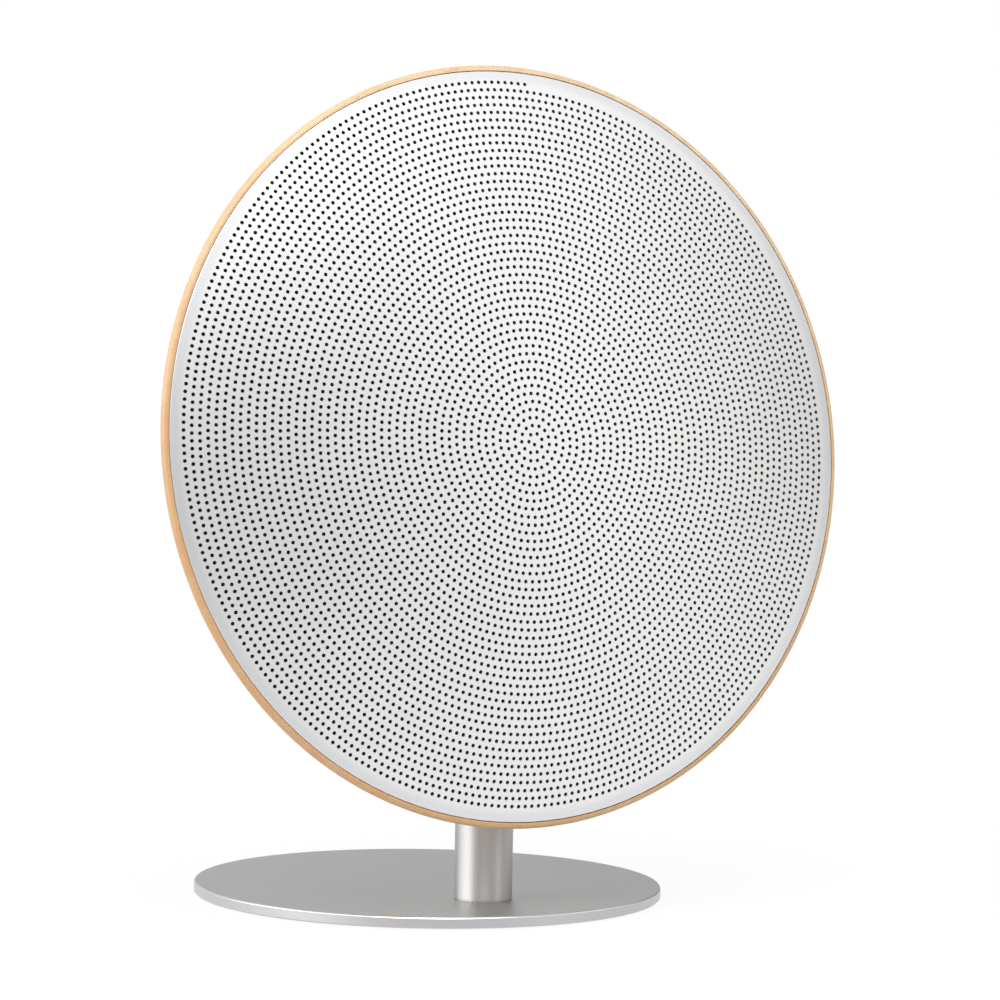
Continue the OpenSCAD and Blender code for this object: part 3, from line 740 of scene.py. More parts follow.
SPIDER = Woven("phenolic_cloth", "spider_cloth", Space.HEAD, colour=(0.5, 0.33, 0.12), pitch=0.5)
COIL = Winding("copper_winding", "coil", Space.HEAD)
BOARD = Board("solder_mask", "board", Space.HEAD)

NODE_FINISHES: dict[Finish, tuple[str, ...]] = {
    SCREW: ("base_screw", "bracket_screws", "stem_set_screw", "board_screws", "strap_screws",
            "control_board_screws"),
    SEAL: ("stem_washer", "baffle_gasket", "battery_pad", "left_surround", "right_surround",
           "radiator_surround"),
    CAST: ("stem_bracket",),
    INNER: ("baffle", "grille_ring"),
    BASKET: ("left_frame", "right_frame", "radiator_frame"),
    CONE: ("left_cone", "right_cone", "left_dust_cap", "right_dust_cap", "radiator_plate"),
    COIL: ("left_voice_coil", "right_voice_coil"),
    SPIDER: ("left_spider", "right_spider"),
    MOTOR: ("left_top_plate", "right_top_plate", "left_yoke", "right_yoke", "battery_strap"),
    MAGNET: ("left_magnet", "right_magnet"),
    BOARD: ("main_board", "control_board"),
    SHIELD: ("wireless_module",),
    WRAP: ("battery_pack",),
}


def dress(obj: bpy.types.Object, finish: Finish) -> None:
    """Gives an object one finish all over.

    Args:
        obj: The object.
        finish: Its finish.
    """
    obj.data.materials.clear()
    obj.data.materials.append(finish.material())
    obj.data.polygons.foreach_set("material_index", [0] * len(obj.data.polygons))
    obj.data.update()


Ring = list[Vector]


def circle(radius: float, z: float, count: int = 192, at: Sequence[float] = (0, 0)) -> Ring:
    """Gives the points of a level circle.

    Args:
        radius: Its radius; 0 gives its centre alone.
        z: Its height.
        count: Number of points.
        at: Its centre.

    Returns:
        The points, anticlockwise from above.
    """
    if radius == 0:
        return [Vector((*at, z))]
    turns = (TURN * i / count for i in range(count))
    return [Vector((at[0] + radius * math.cos(a), at[1] + radius * math.sin(a), z)) for a in turns]


def obround(length: float, width: float, z: float, at: Sequence[float] = (0, 0),
            count: int = 64) -> Ring:
    """Gives the points of a level slot shape, long in X.

    Args:
        length: Overall length.
        width: Overall width.
        z: Its height.
        at: Its centre.
        count: Number of points.

    Returns:
        The points, anticlockwise from above.
    """
    half, radius, ring = count // 2, width / 2, []
    for side, first in ((1, -0.25), (-1, 0.25)):
        middle = at[0] + side * (length / 2 - radius)
        for i in range(half):
            a = TURN * (first + 0.5 * i / (half - 1))
            ring.append(Vector((middle + radius * math.cos(a), at[1] + radius * math.sin(a), z)))
    return ring


def arc(centre: Sequence[float], radius: float, start: float, end: float,
        steps: int) -> list[tuple[float, float]]:
    """Gives the points of an arc in a profile, between two angles in degrees."""
    turns = (math.radians(start + (end - start) * i / steps) for i in range(steps + 1))
    return [(centre[0] + radius * math.cos(a), centre[1] + radius * math.sin(a)) for a in turns]


class Piece:
    """A piece while it is being made, in millimetres in its own frame."""

    def __init__(self, name: str, pose: Matrix | None = None) -> None:
        """Starts an empty piece.

        Args:
            name: The piece's name.
            pose: Its frame in the object, in millimetres.
        """
        self.name = name
        self.pose = pose or Matrix()
        self.mesh = bmesh.new()

    def skin(self, rings: Sequence[Ring], closed: bool = False) -> "Piece":
        """Adds a body that runs through rings of points, and caps its ends.

        Args:
            rings: Loops of equally many points, or single points.
            closed: Whether the last ring meets the first again.

        Returns:
            The piece.
        """
        loops = [[self.mesh.verts.new(point) for point in ring] for ring in rings]
        pairs = list(zip(loops, loops[1:]))
        if closed:
            pairs.append((loops[-1], loops[0]))
        for low, high in pairs:
            for i in range(max(len(low), len(high))):
                corners = (low[i % len(low)], low[(i + 1) % len(low)],
                           high[(i + 1) % len(high)], high[i % len(high)])
                self.mesh.faces.new(dict.fromkeys(corners))
        if not closed:
            for loop in (loops[0], loops[-1]):
                if len(loop) > 2:
                    self.mesh.faces.new(loop)
        bmesh.ops.recalc_face_normals(self.mesh, faces=self.mesh.faces[:])
        return self

    def turn(self, profile: Sequence[tuple[float, float]], count: int = 192,
             at: Sequence[float] = (0, 0), closed: bool = False) -> "Piece":
        """Adds a body turned from pairs of a radius and a height, solid or as a closed ring."""
        return self.skin([circle(r, z, count, at) for r, z in profile], closed)

    def bake(self, scale: float = 1) -> bpy.types.Mesh:
        """Writes the piece to a mesh in the object's frame.

        Args:
            scale: Size of a millimetre in the result.

        Returns:
            The mesh.
        """
        mesh = bpy.data.meshes.new(self.name)
        self.mesh.transform(Matrix.Scale(scale, 4) @ self.pose)
        self.mesh.to_mesh(mesh)
        self.mesh.free()
        return mesh

    def cut(self, tool: "Piece") -> "Piece":
        """Takes the space of another piece out of this one.

        Args:
            tool: The cutter, which is used up.

        Returns:
            The piece.
        """
        home = self.pose
        body, knife = (bpy.data.objects.new(p.name, p.bake()) for p in (self, tool))
        for obj in (body, knife):
            bpy.context.scene.collection.objects.link(obj)
        modifier = body.modifiers.new("cut", "BOOLEAN")
        modifier.operation, modifier.solver, modifier.object = "DIFFERENCE", "EXACT", knife
        result = bpy.data.meshes.new_from_object(
            body.evaluated_get(bpy.context.evaluated_depsgraph_get()))
        for obj in (body, knife):
            bpy.data.objects.remove(obj)
        self.mesh = bmesh.new()
        self.mesh.from_mesh(result)
        self.mesh.transform(home.inverted())
        return self

    def place(self, finish: Finish, *nodes: str, body: str = "speaker",
              sharp: float = 32) -> bpy.types.Object:
        """Puts the finished piece into the scene.

        Args:
            finish: Its finish.
            nodes: The CAD nodes that it stands for.
            body: The body that it moves with.
            sharp: Angle in degrees from which an edge stays sharp.

        Returns:
            The object.
        """
        obj = bpy.data.objects.new(self.name, self.bake(MM))
        bpy.context.scene.collection.objects.link(obj)
        obj.data.shade_smooth()
        obj.data.set_sharp_from_angle(angle=math.radians(sharp))
        dress(obj, finish)
        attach(obj, body)
        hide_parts(*nodes)
        log.info("%s: %d faces in %s", self.name, len(obj.data.polygons), finish.name)
        return obj


def grow(graph: Graph, name: str, values: dict[str, float | int]) -> bpy.types.Mesh:
    """Runs a geometry tree once and keeps its plain mesh.

    Args:
        graph: The finished tree.
        name: Name of the mesh.
        values: Values of the tree's inputs by name.

    Returns:
        The mesh.
    """
    carrier = bpy.data.objects.new(name, bpy.data.meshes.new(name))
    bpy.context.scene.collection.objects.link(carrier)
    modifier = carrier.modifiers.new(name, "NODES")
    modifier.node_group = graph.tree
    for item in graph.tree.interface.items_tree:
        if item.in_out == "INPUT" and item.name in values:
            modifier[item.identifier] = values[item.name]
    mesh = bpy.data.meshes.new_from_object(
        carrier.evaluated_get(bpy.context.evaluated_depsgraph_get()))
    carrier.modifiers.remove(modifier)
    bpy.data.objects.remove(carrier)
    return mesh


@dataclass(frozen=True)
class Spiral:
    """Where the holes are: equal steps along an Archimedean spiral, clockwise from the front.

    Attributes:
        count: Number of holes.
        pitch: Distance from turn to turn.
        step: Distance from hole to hole.
        start: Length before the first hole, in steps.
        zero: Direction in which the spiral starts, in turns from +X.
        bend: Radius that draws the pattern in as it climbs the dome.
    """

    count: int = 7003
    pitch: float = 2.0859
    step: float = 1.9778
    start: float = 0.6
    zero: float = 0.2073
    bend: float = 505.7


@dataclass
class Grille:
    """The domed sheet, perforated along one spiral, with its rolled edge.

    Attributes:
        spiral: The hole pattern.
        hole: Corner radius of a hole.
        radius: Outer radius of the rolled edge.
        dome: Radius of the dome's front.
        centre: Height of the dome's centre in the head's frame.
        sheet: Thickness of the sheet.
        field: Plan radius at which the flat pattern ends and the edge starts.
        edge: Depth of the edge behind the head's front plane.
        bend: Outer radius of the roll.
        sectors: Number of rings that the pattern is filled in.
        chords: Points on the line between two such rings.
        rim: Points round the edge.
    """

    spiral: Spiral = Spiral()
    hole: float = 0.56
    radius: float = 98.4
    dome: float = DOME
    centre: float = CENTRE
    sheet: float = 0.8
    field: float = 97.2
    edge: float = 1.8
    bend: float = 0.4
    sectors: int = 14
    chords: int = 30
    rim: int = 128

    def build(self) -> None:
        """Makes the grille."""
        piece, sizes = Piece("perforated_grille", HEAD.matrix), self._sizes()
        piece.mesh.from_mesh(grow(self._tree(sizes), "perforated_sheet", sizes))
        self._edge(piece)
        self._even(piece.place(SHEET, "grille", sharp=40).data)

    def _sizes(self) -> dict[str, float | int]:
        """Gives the inputs of the sheet's tree.

        Returns:
            Their values by name.
        """
        spiral = self.spiral
        return {"Holes": spiral.count, "Pitch": spiral.pitch, "Step": spiral.step,
                "Start": spiral.start, "Zero": spiral.zero * TURN, "Bend": spiral.bend,
                "Hole Radius": self.hole, "Dome Radius": self.dome, "Dome Centre": self.centre,
                "Sheet": self.sheet, "Reach": spiral.bend * math.asin(self.field / spiral.bend),
                "Sectors": self.sectors, "Chords": self.chords, "Rim Points": self.rim}

    def _even(self, mesh: bpy.types.Mesh) -> None:
        """Gives the faces of the dome its own normals, free of the triangles' slight tilt.

        Args:
            mesh: The finished mesh.
        """
        centre = HEAD.matrix @ Vector((0, 0, self.centre)) * MM
        near = 0.02
        ways, sides = [], []
        for vertex in mesh.vertices:
            way = vertex.co - centre
            reach = way.length / MM
            ways.append(way.normalized())
            back = abs(reach - self.dome + self.sheet) < near
            sides.append((abs(reach - self.dome) < near) - back)
        normals = [Vector()] * len(mesh.loops)
        for face in mesh.polygons:
            side = {sides[v] for v in face.vertices}
            if len(side) == 1 and (level := side.pop()):
                for loop, vertex in zip(face.loop_indices, face.vertices):
                    normals[loop] = ways[vertex] * level
        mesh.normals_split_custom_set(normals)

    def _edge(self, piece: Piece) -> None:
        """Joins the rolled edge to the sheet.

        Args:
            piece: The grille's piece, with the sheet in it.
        """
        middle = self.radius - self.bend
        inner = self.radius - self.sheet
        climb = math.sqrt(1 - (self.field / self.dome) ** 2)
        low = self.centre + math.sqrt(self.dome ** 2 - middle ** 2) - self.bend
        profile = [(self.field, self.centre + self.dome * climb)]
        profile += arc((middle, low), self.bend, 72, 0, 3)
        profile += [(self.radius, -self.edge), (inner, -self.edge)]
        profile += [(self.field * (1 - self.sheet / self.dome),
                     self.centre + (self.dome - self.sheet) * climb)]
        loops = [[piece.mesh.verts.new(p) for p in circle(r, z, self.rim)] for r, z in profile]
        for outer, nearer in zip(loops, loops[1:]):
            for i in range(self.rim):
                j = (i + 1) % self.rim
                piece.mesh.faces.new((outer[i], outer[j], nearer[j], nearer[i]))
        bmesh.ops.remove_doubles(piece.mesh, verts=piece.mesh.verts[:], dist=WELD)
        bmesh.ops.recalc_face_normals(piece.mesh, faces=piece.mesh.faces[:])

    def _tree(self, values: dict[str, float | int]) -> Graph:
        """Builds the geometry tree of the perforated sheet.

        Args:
            values: The tree's inputs.

        Returns:
            The tree's graph.
        """
        graph = Graph(bpy.data.node_groups.new("perforated_sheet", "GeometryNodeTree"))
        sizes = graph.sizes(values)
        rings = self._holes(graph, sizes)
        outline = graph.add("GeometryNodeMeshToCurve", None, {"Mesh": rings})
        rim = self._label(graph, graph.add(
            "GeometryNodeCurvePrimitiveCircle", {"mode": "RADIUS"},
            {"Resolution": sizes["Rim Points"], "Radius": sizes["Reach"]}), sizes["Sectors"] - 1.0)
        curves = graph.join(outline, self._borders(graph, sizes), rim)
        sector = graph.add("GeometryNodeInputNamedAttribute", {"data_type": "INT"},
                           {"Name": "sector"})
        front = graph.add("GeometryNodeFillCurve", {"mode": "TRIANGLES"},
                          {"Curve": curves, "Group ID": sector})
        down = graph.combine(0.0, 0.0, -1.0)
        back = graph.add("GeometryNodeTransform", None, {"Geometry": front, "Translation": down})
        walls = graph.add("GeometryNodeExtrudeMesh", {"mode": "EDGES"},
                          {"Mesh": rings, "Offset": down, "Offset Scale": 1.0})
        body = graph.join(front, back, walls)
        body = graph.add("GeometryNodeSetPosition", None,
                         {"Geometry": body, "Position": self._onto_dome(graph, sizes)})
        body = graph.add("GeometryNodeMergeByDistance", None,
                         {"Geometry": body, "Distance": WELD})
        graph.shape(body, SHEET.material())
        return graph

    @staticmethod
    def _label(graph: Graph, shape: Sock, sector: Input) -> Sock:
        """Stores the number of the ring that each point belongs to."""
        return graph.add("GeometryNodeStoreNamedAttribute",
                         {"data_type": "INT", "domain": "POINT"},
                         {"Geometry": shape, "Name": "sector", "Value": sector})

    @staticmethod
    def _turn(sizes: dict[str, Sock], number: Sock) -> Sock:
        """Gives the turn in radians that the spiral has made at a hole's number."""
        rate = sizes["Step"] * (2 * TURN) / sizes["Pitch"]
        return ((number + sizes["Start"]) * rate) ** 0.5

    def _holes(self, graph: Graph, sizes: dict[str, Sock]) -> Sock:
        """Lays the outline of every hole out flat.

        Args:
            graph: The tree's graph.
            sizes: The tree's inputs.

        Returns:
            The outlines, as edges.
        """
        index = graph.add("GeometryNodeInputIndex")
        turn = self._turn(sizes, index)
        reach = turn * sizes["Pitch"] / TURN
        way = sizes["Zero"] - turn
        points = graph.add("GeometryNodePoints", None,
                           {"Count": sizes["Holes"], "Position": graph.polar(reach, way)})
        points = self._label(graph, points,
                             (index * sizes["Sectors"] / sizes["Holes"]).maths("FLOOR"))
        outline = graph.add("GeometryNodeMeshCircle", {"fill_type": "NONE"},
                            {"Vertices": 6, "Radius": sizes["Hole Radius"]})
        turned = graph.add("GeometryNodeInstanceOnPoints", None, {
            "Points": points, "Instance": outline, "Rotation": graph.combine(0.0, 0.0, way)})
        return graph.add("GeometryNodeRealizeInstances", None, {"Geometry": turned})

    def _borders(self, graph: Graph, sizes: dict[str, Sock]) -> Sock:
        """Draws the closed lines between the rings that the pattern is filled in.

        Args:
            graph: The tree's graph.
            sizes: The tree's inputs.

        Returns:
            The lines, each once for the ring on either side.
        """
        index = graph.add("GeometryNodeInputIndex")
        points = sizes["Chords"] + 1.0
        line = (index / points).maths("FLOOR")
        along = (index - line * points) / sizes["Chords"]
        border = (line / 2.0).maths("FLOOR") + 1.0
        first = (sizes["Holes"] * border / sizes["Sectors"]).maths("CEIL")
        turn = self._turn(sizes, first - 0.5) + (along - 1.0) * TURN
        lift = 2.0 / ((math.pi / sizes["Chords"]).maths("COSINE") + 1.0)
        reach = sizes["Pitch"] * (turn / TURN + 0.5) * lift
        way = sizes["Zero"] - turn
        dots = graph.add("GeometryNodePoints", None, {
            "Count": (sizes["Sectors"] - 1.0) * 2.0 * points,
            "Position": graph.polar(reach, way)})
        dots = self._label(graph, dots, border - 1.0 + line.maths("MODULO", 2.0))
        lines = graph.add("GeometryNodePointsToCurves", None,
                          {"Points": dots, "Curve Group ID": line, "Weight": index})
        return graph.add("GeometryNodeSetSplineCyclic", None, {"Geometry": lines, "Cyclic": True})

    @staticmethod
    def _onto_dome(graph: Graph, sizes: dict[str, Sock]) -> Sock:
        """Gives the place on the dome of a point of the flat pattern.

        Args:
            graph: The tree's graph.
            sizes: The tree's inputs.

        Returns:
            The place in the head's frame.
        """
        flat = graph.add("GeometryNodeInputPosition")
        x, y, depth = (flat.axis(name) for name in "XYZ")
        reach = (x * x + y * y) ** 0.5
        radius = (reach / sizes["Bend"]).maths("SINE") * sizes["Bend"]
        share = radius / reach / sizes["Dome Radius"]
        lean = radius / sizes["Dome Radius"]
        normal = graph.combine(x * share, y * share, (1.0 - lean * lean) ** 0.5)
        out = normal * (sizes["Dome Radius"] + depth * sizes["Sheet"])
        return out + graph.combine(0.0, 0.0, sizes["Dome Centre"])


class ScrewHead(Enum):
    """The form of a screw's head: the shares of its radius at its bottom and its top."""

    FLUSH = (0.56, 1.0)
    PAN = (1.0, 0.8)


@dataclass(frozen=True)
class ScrewRing:
    """Equal screws in a ring, with their heads towards the ring's +Z.

    Attributes:
        count: Number of screws.
        ring: Radius of the ring.
        start: Angle of the first screw in degrees.
        seat: Height of the seat under a pan head, or of the rim of a flush head.
        head: Radius of the head.
        height: Height of the head.
        shank: Radius of the shank.
        length: Length of the shank below the seat.
        form: Form of the head.
    """

    count: int
    ring: float
    start: float
    seat: float
    head: float
    height: float
    shank: float
    length: float
    form: ScrewHead = ScrewHead.PAN

    def mesh(self) -> bpy.types.Mesh:
        """Grows the screws.

        Returns:
            Their mesh in the ring's frame.
        """
        low, high = (share * self.head for share in self.form.value)
        base = self.seat - (self.height if self.form is ScrewHead.FLUSH else 0)
        return grow(self._tree(), "cross_screws", {
            "Screws": self.count, "Ring": self.ring, "Start": math.radians(self.start),
            "Base": base, "Head Low": low, "Head High": high, "Head Height": self.height,
            "Shank": self.shank, "Shank Length": self.length - (self.seat - base), "Seed": 7})

    def _tree(self) -> Graph:
        """Builds the tree of a ring of screws once.

        Returns:
            The tree's graph.
        """
        made = bpy.data.node_groups.get("cross_screws")
        if made:
            return Graph(made)
        graph = Graph(bpy.data.node_groups.new("cross_screws", "GeometryNodeTree"))
        sizes = graph.sizes({
            "Screws": 4, "Ring": 10.0, "Start": 0.0, "Base": 0.0, "Head Low": 2.0,
            "Head High": 2.0, "Head Height": 1.0, "Shank": 1.0, "Shank Length": 5.0, "Seed": 7})
        shank = graph.add("GeometryNodeMeshCylinder", None, {
            "Vertices": 20, "Radius": sizes["Shank"], "Depth": sizes["Shank Length"] + 0.4})
        shank = self._lift(graph, shank, (sizes["Shank Length"] - 0.4) * -0.5)
        head = graph.add("GeometryNodeMeshCone", None, {
            "Vertices": 32, "Radius Top": sizes["Head High"], "Radius Bottom": sizes["Head Low"],
            "Depth": sizes["Head Height"]})
        whole = graph.add("GeometryNodeMeshBoolean", {"operation": "UNION"},
                          {"Mesh 2": [head, shank]})
        wide, deep = sizes["Head High"] * 1.1, sizes["Head Height"]
        slots = [self._lift(graph, graph.add("GeometryNodeMeshCube", None, {"Size": size}), deep)
                 for size in (graph.combine(wide, wide * 0.27, deep),
                              graph.combine(wide * 0.27, wide, deep))]
        screw = graph.add("GeometryNodeMeshBoolean", {"operation": "DIFFERENCE"},
                          {"Mesh 1": whole, "Mesh 2": slots})
        index = graph.add("GeometryNodeInputIndex")
        way = index * TURN / sizes["Screws"] + sizes["Start"]
        points = graph.add("GeometryNodePoints", None, {
            "Count": sizes["Screws"],
            "Position": graph.polar(sizes["Ring"], way, sizes["Base"])})
        spin = graph.add("FunctionNodeRandomValue", {"data_type": "FLOAT"},
                         {2: 0.0, 3: TURN / 4, "Seed": sizes["Seed"]}, 1)
        placed = graph.add("GeometryNodeInstanceOnPoints", None, {
            "Points": points, "Instance": screw, "Rotation": graph.combine(0.0, 0.0, spin)})
        graph.shape(placed, SCREW.material())
        return graph

    @staticmethod
    def _lift(graph: Graph, shape: Sock, height: Sock) -> Sock:
        """Moves a shape whose own middle is at its origin up by a height."""
        return graph.add("GeometryNodeTransform", None, {
            "Geometry": shape, "Translation": graph.combine(0.0, 0.0, height)})


@dataclass
class Fasteners:
    """The screws of the baffle, the drivers and the rear plate.

    Attributes:
        seat: Depth of the baffle's front behind the front plane.
        drivers: Middles of the two drivers.
        radiator: Middle of the passive radiator.
        plate: Middle of the rear plate, and the depth of its outer face.
    """

    seat: float = SEAT
    drivers: tuple[tuple[float, float], ...] = ((-54.1, 4.0), (54.1, 4.0))
    radiator: tuple[float, float] = (0.0, 56.1)
    plate: tuple[float, float, float] = (0.0, PLATE_UP, -29.3)

    def build(self) -> None:
        """Makes one piece for each group of screws."""
        m2 = {"seat": self.seat + 1.6, "head": 1.7, "height": 1.0, "shank": 0.95, "length": 4.3}
        driver = ScrewRing(count=4, ring=20.1, start=45, **m2)
        radiator = ScrewRing(count=4, ring=25.1, start=45, **m2)
        baffle = ScrewRing(count=6, ring=BAFFLE_RING, start=0, seat=self.seat, head=2.6,
                           height=1.8, shank=1.45, length=8.5, form=ScrewHead.FLUSH)
        port = ScrewRing(count=2, ring=PORT_SCREWS, start=0, seat=0, head=2.1, height=1.2,
                         shank=1.2, length=3.4, form=ScrewHead.FLUSH)
        back = HEAD.matrix @ Matrix.Translation(self.plate) @ Matrix.Rotation(math.pi, 4, "X")
        self._piece("baffle_screws", baffle, [(0.0, 0.0)])
        self._piece("driver_screws", driver, self.drivers)
        self._piece("radiator_screws", radiator, [self.radiator])
        self._piece("port_screws", port, [(0.0, 0.0)], back)

    @staticmethod
    def _piece(node: str, ring: ScrewRing, spots: Sequence[tuple[float, float]],
               pose: Matrix = HEAD.matrix) -> None:
        """Makes the screws of one CAD node.

        Args:
            node: The CAD node.
            ring: The ring of screws.
            spots: Where the ring stands.
            pose: The frame of the spots.
        """
        piece = Piece("cross_" + node, pose)
        for x, y in spots:
            mesh = ring.mesh()
            mesh.transform(Matrix.Translation((x, y, 0)))
            piece.mesh.from_mesh(mesh)
        piece.place(SCREW, node)


@dataclass
class Shell:
    """The wooden bowl.

    Attributes:
        lip: Radius of the opening.
        round: Radius of the rounded rim.
        back: Depth of the flat back behind the front plane.
        wall: Thickness of the wall.
        slope: Angle in degrees at which the flank meets the rim.
        pocket: Radius of the step that the baffle sits in.
        cavity: Radius of the opening behind it.
        seat: Depth of the seat of the grille.
        ledge: Depth of the step.
        stem: Radius of the stem's bore.
        top: Height above the floor at which that bore ends.
        pocket_size: Length and width of the rear plate's pocket.
        neck_size: Length and width of the opening behind it.
        sink: Depth of that pocket.
        screws: Number of the baffle's screws.
        screw: Radius and depth of their blind holes.
    """

    lip: float = 98.5
    round: float = 1.5
    back: float = -29.5
    wall: float = 4.0
    slope: float = 35.0
    pocket: float = 95.6
    cavity: float = 84.1
    seat: float = SEAT
    ledge: float = -5.3
    stem: float = 7.9
    top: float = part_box("stem")[1].z / MM - 16.0
    pocket_size: tuple[float, float] = (72.4, 22.4)
    neck_size: tuple[float, float] = (60.4, 16.4)
    sink: float = 1.4
    screws: int = 6
    screw: tuple[float, float] = (1.5, 9.0)

    def build(self) -> None:
        """Makes the bowl and its bores."""
        piece = Piece("turned_bowl", HEAD.matrix).turn(self._profile(), 288).cut(self._bores())
        stem = Piece("stem_bore").turn(
            [(0, 0), (self.stem, 0), (self.stem, self.top), (0, self.top)], 96,
            (0, -STEM_FORWARD))
        piece.cut(stem).place(BEECH, "wood_shell")

    def _profile(self) -> list[tuple[float, float]]:
        """Gives the bowl's outline from the middle of its back to the middle of its floor.

        Returns:
            Pairs of a radius and a height.
        """
        slope = math.radians(self.slope)
        start = (self.lip + self.round * math.cos(slope),
                 -self.round - self.round * math.sin(slope))
        flank = (start[1] - self.back) / (1 - math.sin(slope))
        flat = start[0] - flank * math.cos(slope)
        centre = (flat, self.back + flank)
        inner = flank - self.wall
        foot = -math.degrees(math.acos((self.cavity - flat) / inner))
        ease = 0.25
        return ([(0, self.back), (flat * 0.5, self.back)]
                + arc(centre, flank, -90, -self.slope, 40)
                + arc((self.lip, -self.round), self.round, -self.slope + 6, 90, 12)
                + [(self.lip, -ease), (self.lip, self.seat), (self.pocket, self.seat),
                   (self.pocket, self.ledge), (self.cavity, self.ledge)]
                + arc(centre, inner, foot, -90, 24)
                + [(flat * 0.5, self.back + self.wall), (0, self.back + self.wall)])

    def _bores(self) -> Piece:
        """Gives the pocket of the rear plate and the blind screw holes.

        Returns:
            The cutters as one piece.
        """
        bores, at = Piece("bores", HEAD.matrix), (0, PLATE_UP)
        floor, deep = self.back + self.sink, self.back + self.wall + 1
        bores.skin([obround(*size, z, at) for size, z in (
            (self.pocket_size, self.back - 1), (self.pocket_size, floor),
            (self.neck_size, floor), (self.neck_size, deep))])
        radius, low = self.screw[0], self.seat - self.screw[1]
        for i in range(self.screws):
            way = TURN * i / self.screws
            bores.turn([(0, low), (radius, low), (radius, 0), (0, 0)], 24,
                       (BAFFLE_RING * math.cos(way), BAFFLE_RING * math.sin(way)))
        return bores


@dataclass
class Stand:
    """The base plate, its pad and the stem.

    Attributes:
        radius: Radius of the base.
        proud: Height at which the base's underside stands.
        thick: Thickness of the base.
        chamfer: Chamfer of its edges.
        recess: Radius of the recess for the pad.
        pad: Thickness of the pad.
        grooves: Radii of the two grooves in the pad.
        stem: Radius of the stem.
        screw: Radii of the bores for the foot screw's head and shank.
        tap: Depth of that screw's bore in the stem.
        shoulder: Height of the stem's shoulder above the floor.
        spigot: Radius of the spigot on the shoulder.
        tail: Length of the spigot.
        relief: Depth of the groove at the stem's foot.
    """

    radius: float = 62.9
    proud: float = 0.5
    thick: float = 3.0
    chamfer: float = 0.35
    recess: float = 56.4
    pad: float = 1.4
    grooves: tuple[float, float] = (18.0, 38.0)
    stem: float = 7.7
    screw: tuple[float, float] = (4.75, 2.55)
    tap: float = 12.5
    shoulder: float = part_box("stem")[1].z / MM - 17.0
    spigot: float = 5.0
    tail: float = 17.0
    relief: float = 0.2

    def build(self) -> None:
        """Makes the three pieces."""
        self._base()
        self._stem()
        self._pad()

    def _base(self) -> None:
        """Makes the plate with its recess and the seat of its screw."""
        r, c, low, top = self.radius, self.chamfer, self.proud, self.proud + self.thick
        ease = 0.04
        profile = [(0, self.pad), (self.recess, self.pad), (self.recess, low), (r - c, low),
                   (r, low + c), (r, top - c - ease), (r - ease, top - c + ease),
                   (r - c + ease, top - ease), (r - c - ease, top), (r * 0.97, top),
                   (r * 0.5, top), (0, top)]
        piece = Piece("base_disc").turn(profile, 288)
        head, shank = self.screw
        hole = Piece("screw_seat").turn(
            [(0, 0), (head, 0), (head, self.pad), (shank, top - 0.1), (shank, top + 1),
             (0, top + 1)], 48, (0, -STEM_FORWARD))
        piece.cut(hole).place(SILVER, "base_plate", sharp=25)

    def _stem(self) -> None:
        """Makes the stem with its foot groove, its shoulder and its tapped foot."""
        foot, d, r, tap = self.proud + self.thick, self.relief, self.stem, self.screw[1]
        end = self.shoulder + self.tail
        profile = [(0, foot + self.tap), (tap, foot + self.tap), (tap, foot), (r - d, foot),
                   (r - d, foot + d), (r, foot + 2 * d)]
        profile += [(r, foot + climb) for climb in (20, 40, 60)]
        profile += [(r, self.shoulder), (self.spigot, self.shoulder), (self.spigot, end - 1),
                    (self.spigot - 1, end), (0, end)]
        Piece("round_stem").turn(profile, 128, (0, -STEM_FORWARD)).place(STEM, "stem")

    def _pad(self) -> None:
        """Makes the foot pad with its rounded edge and two shallow grooves."""
        r, t = self.recess - 0.2, self.pad
        profile = [(0, 0)]
        for groove in self.grooves:
            profile += [(groove - 0.7, 0), (groove - 0.4, 0.25), (groove + 0.4, 0.25),
                        (groove + 0.7, 0)]
        profile += arc((r - 0.4, 0.4), 0.4, -90, 0, 5) + [(r, t), (0, t)]
        Piece("rubber_pad").turn(profile, 192).place(RUBBER, "foot_pad")


@dataclass
class Cloth:
    """The acoustic cloth, stretched just behind the grille.

    Attributes:
        dome: Radius of its front.
        centre: Height of the dome's centre in the head's frame.
        thick: Thickness of the cloth.
        rim: Plan radius of its rim.
    """

    dome: float = 410.05
    centre: float = CENTRE
    thick: float = 0.4
    rim: float = 92.3

    def build(self) -> None:
        """Makes the cloth."""
        steps = 24
        front, back = ([(r, self.centre + math.sqrt(dome ** 2 - r ** 2))
                        for r in (self.rim * i / steps for i in range(steps + 1))]
                       for dome in (self.dome, self.dome - self.thick))
        piece = Piece("stretched_cloth", HEAD.matrix).turn(front + back[::-1], 128)
        cloth = piece.place(CLOTH, "grille_cloth")


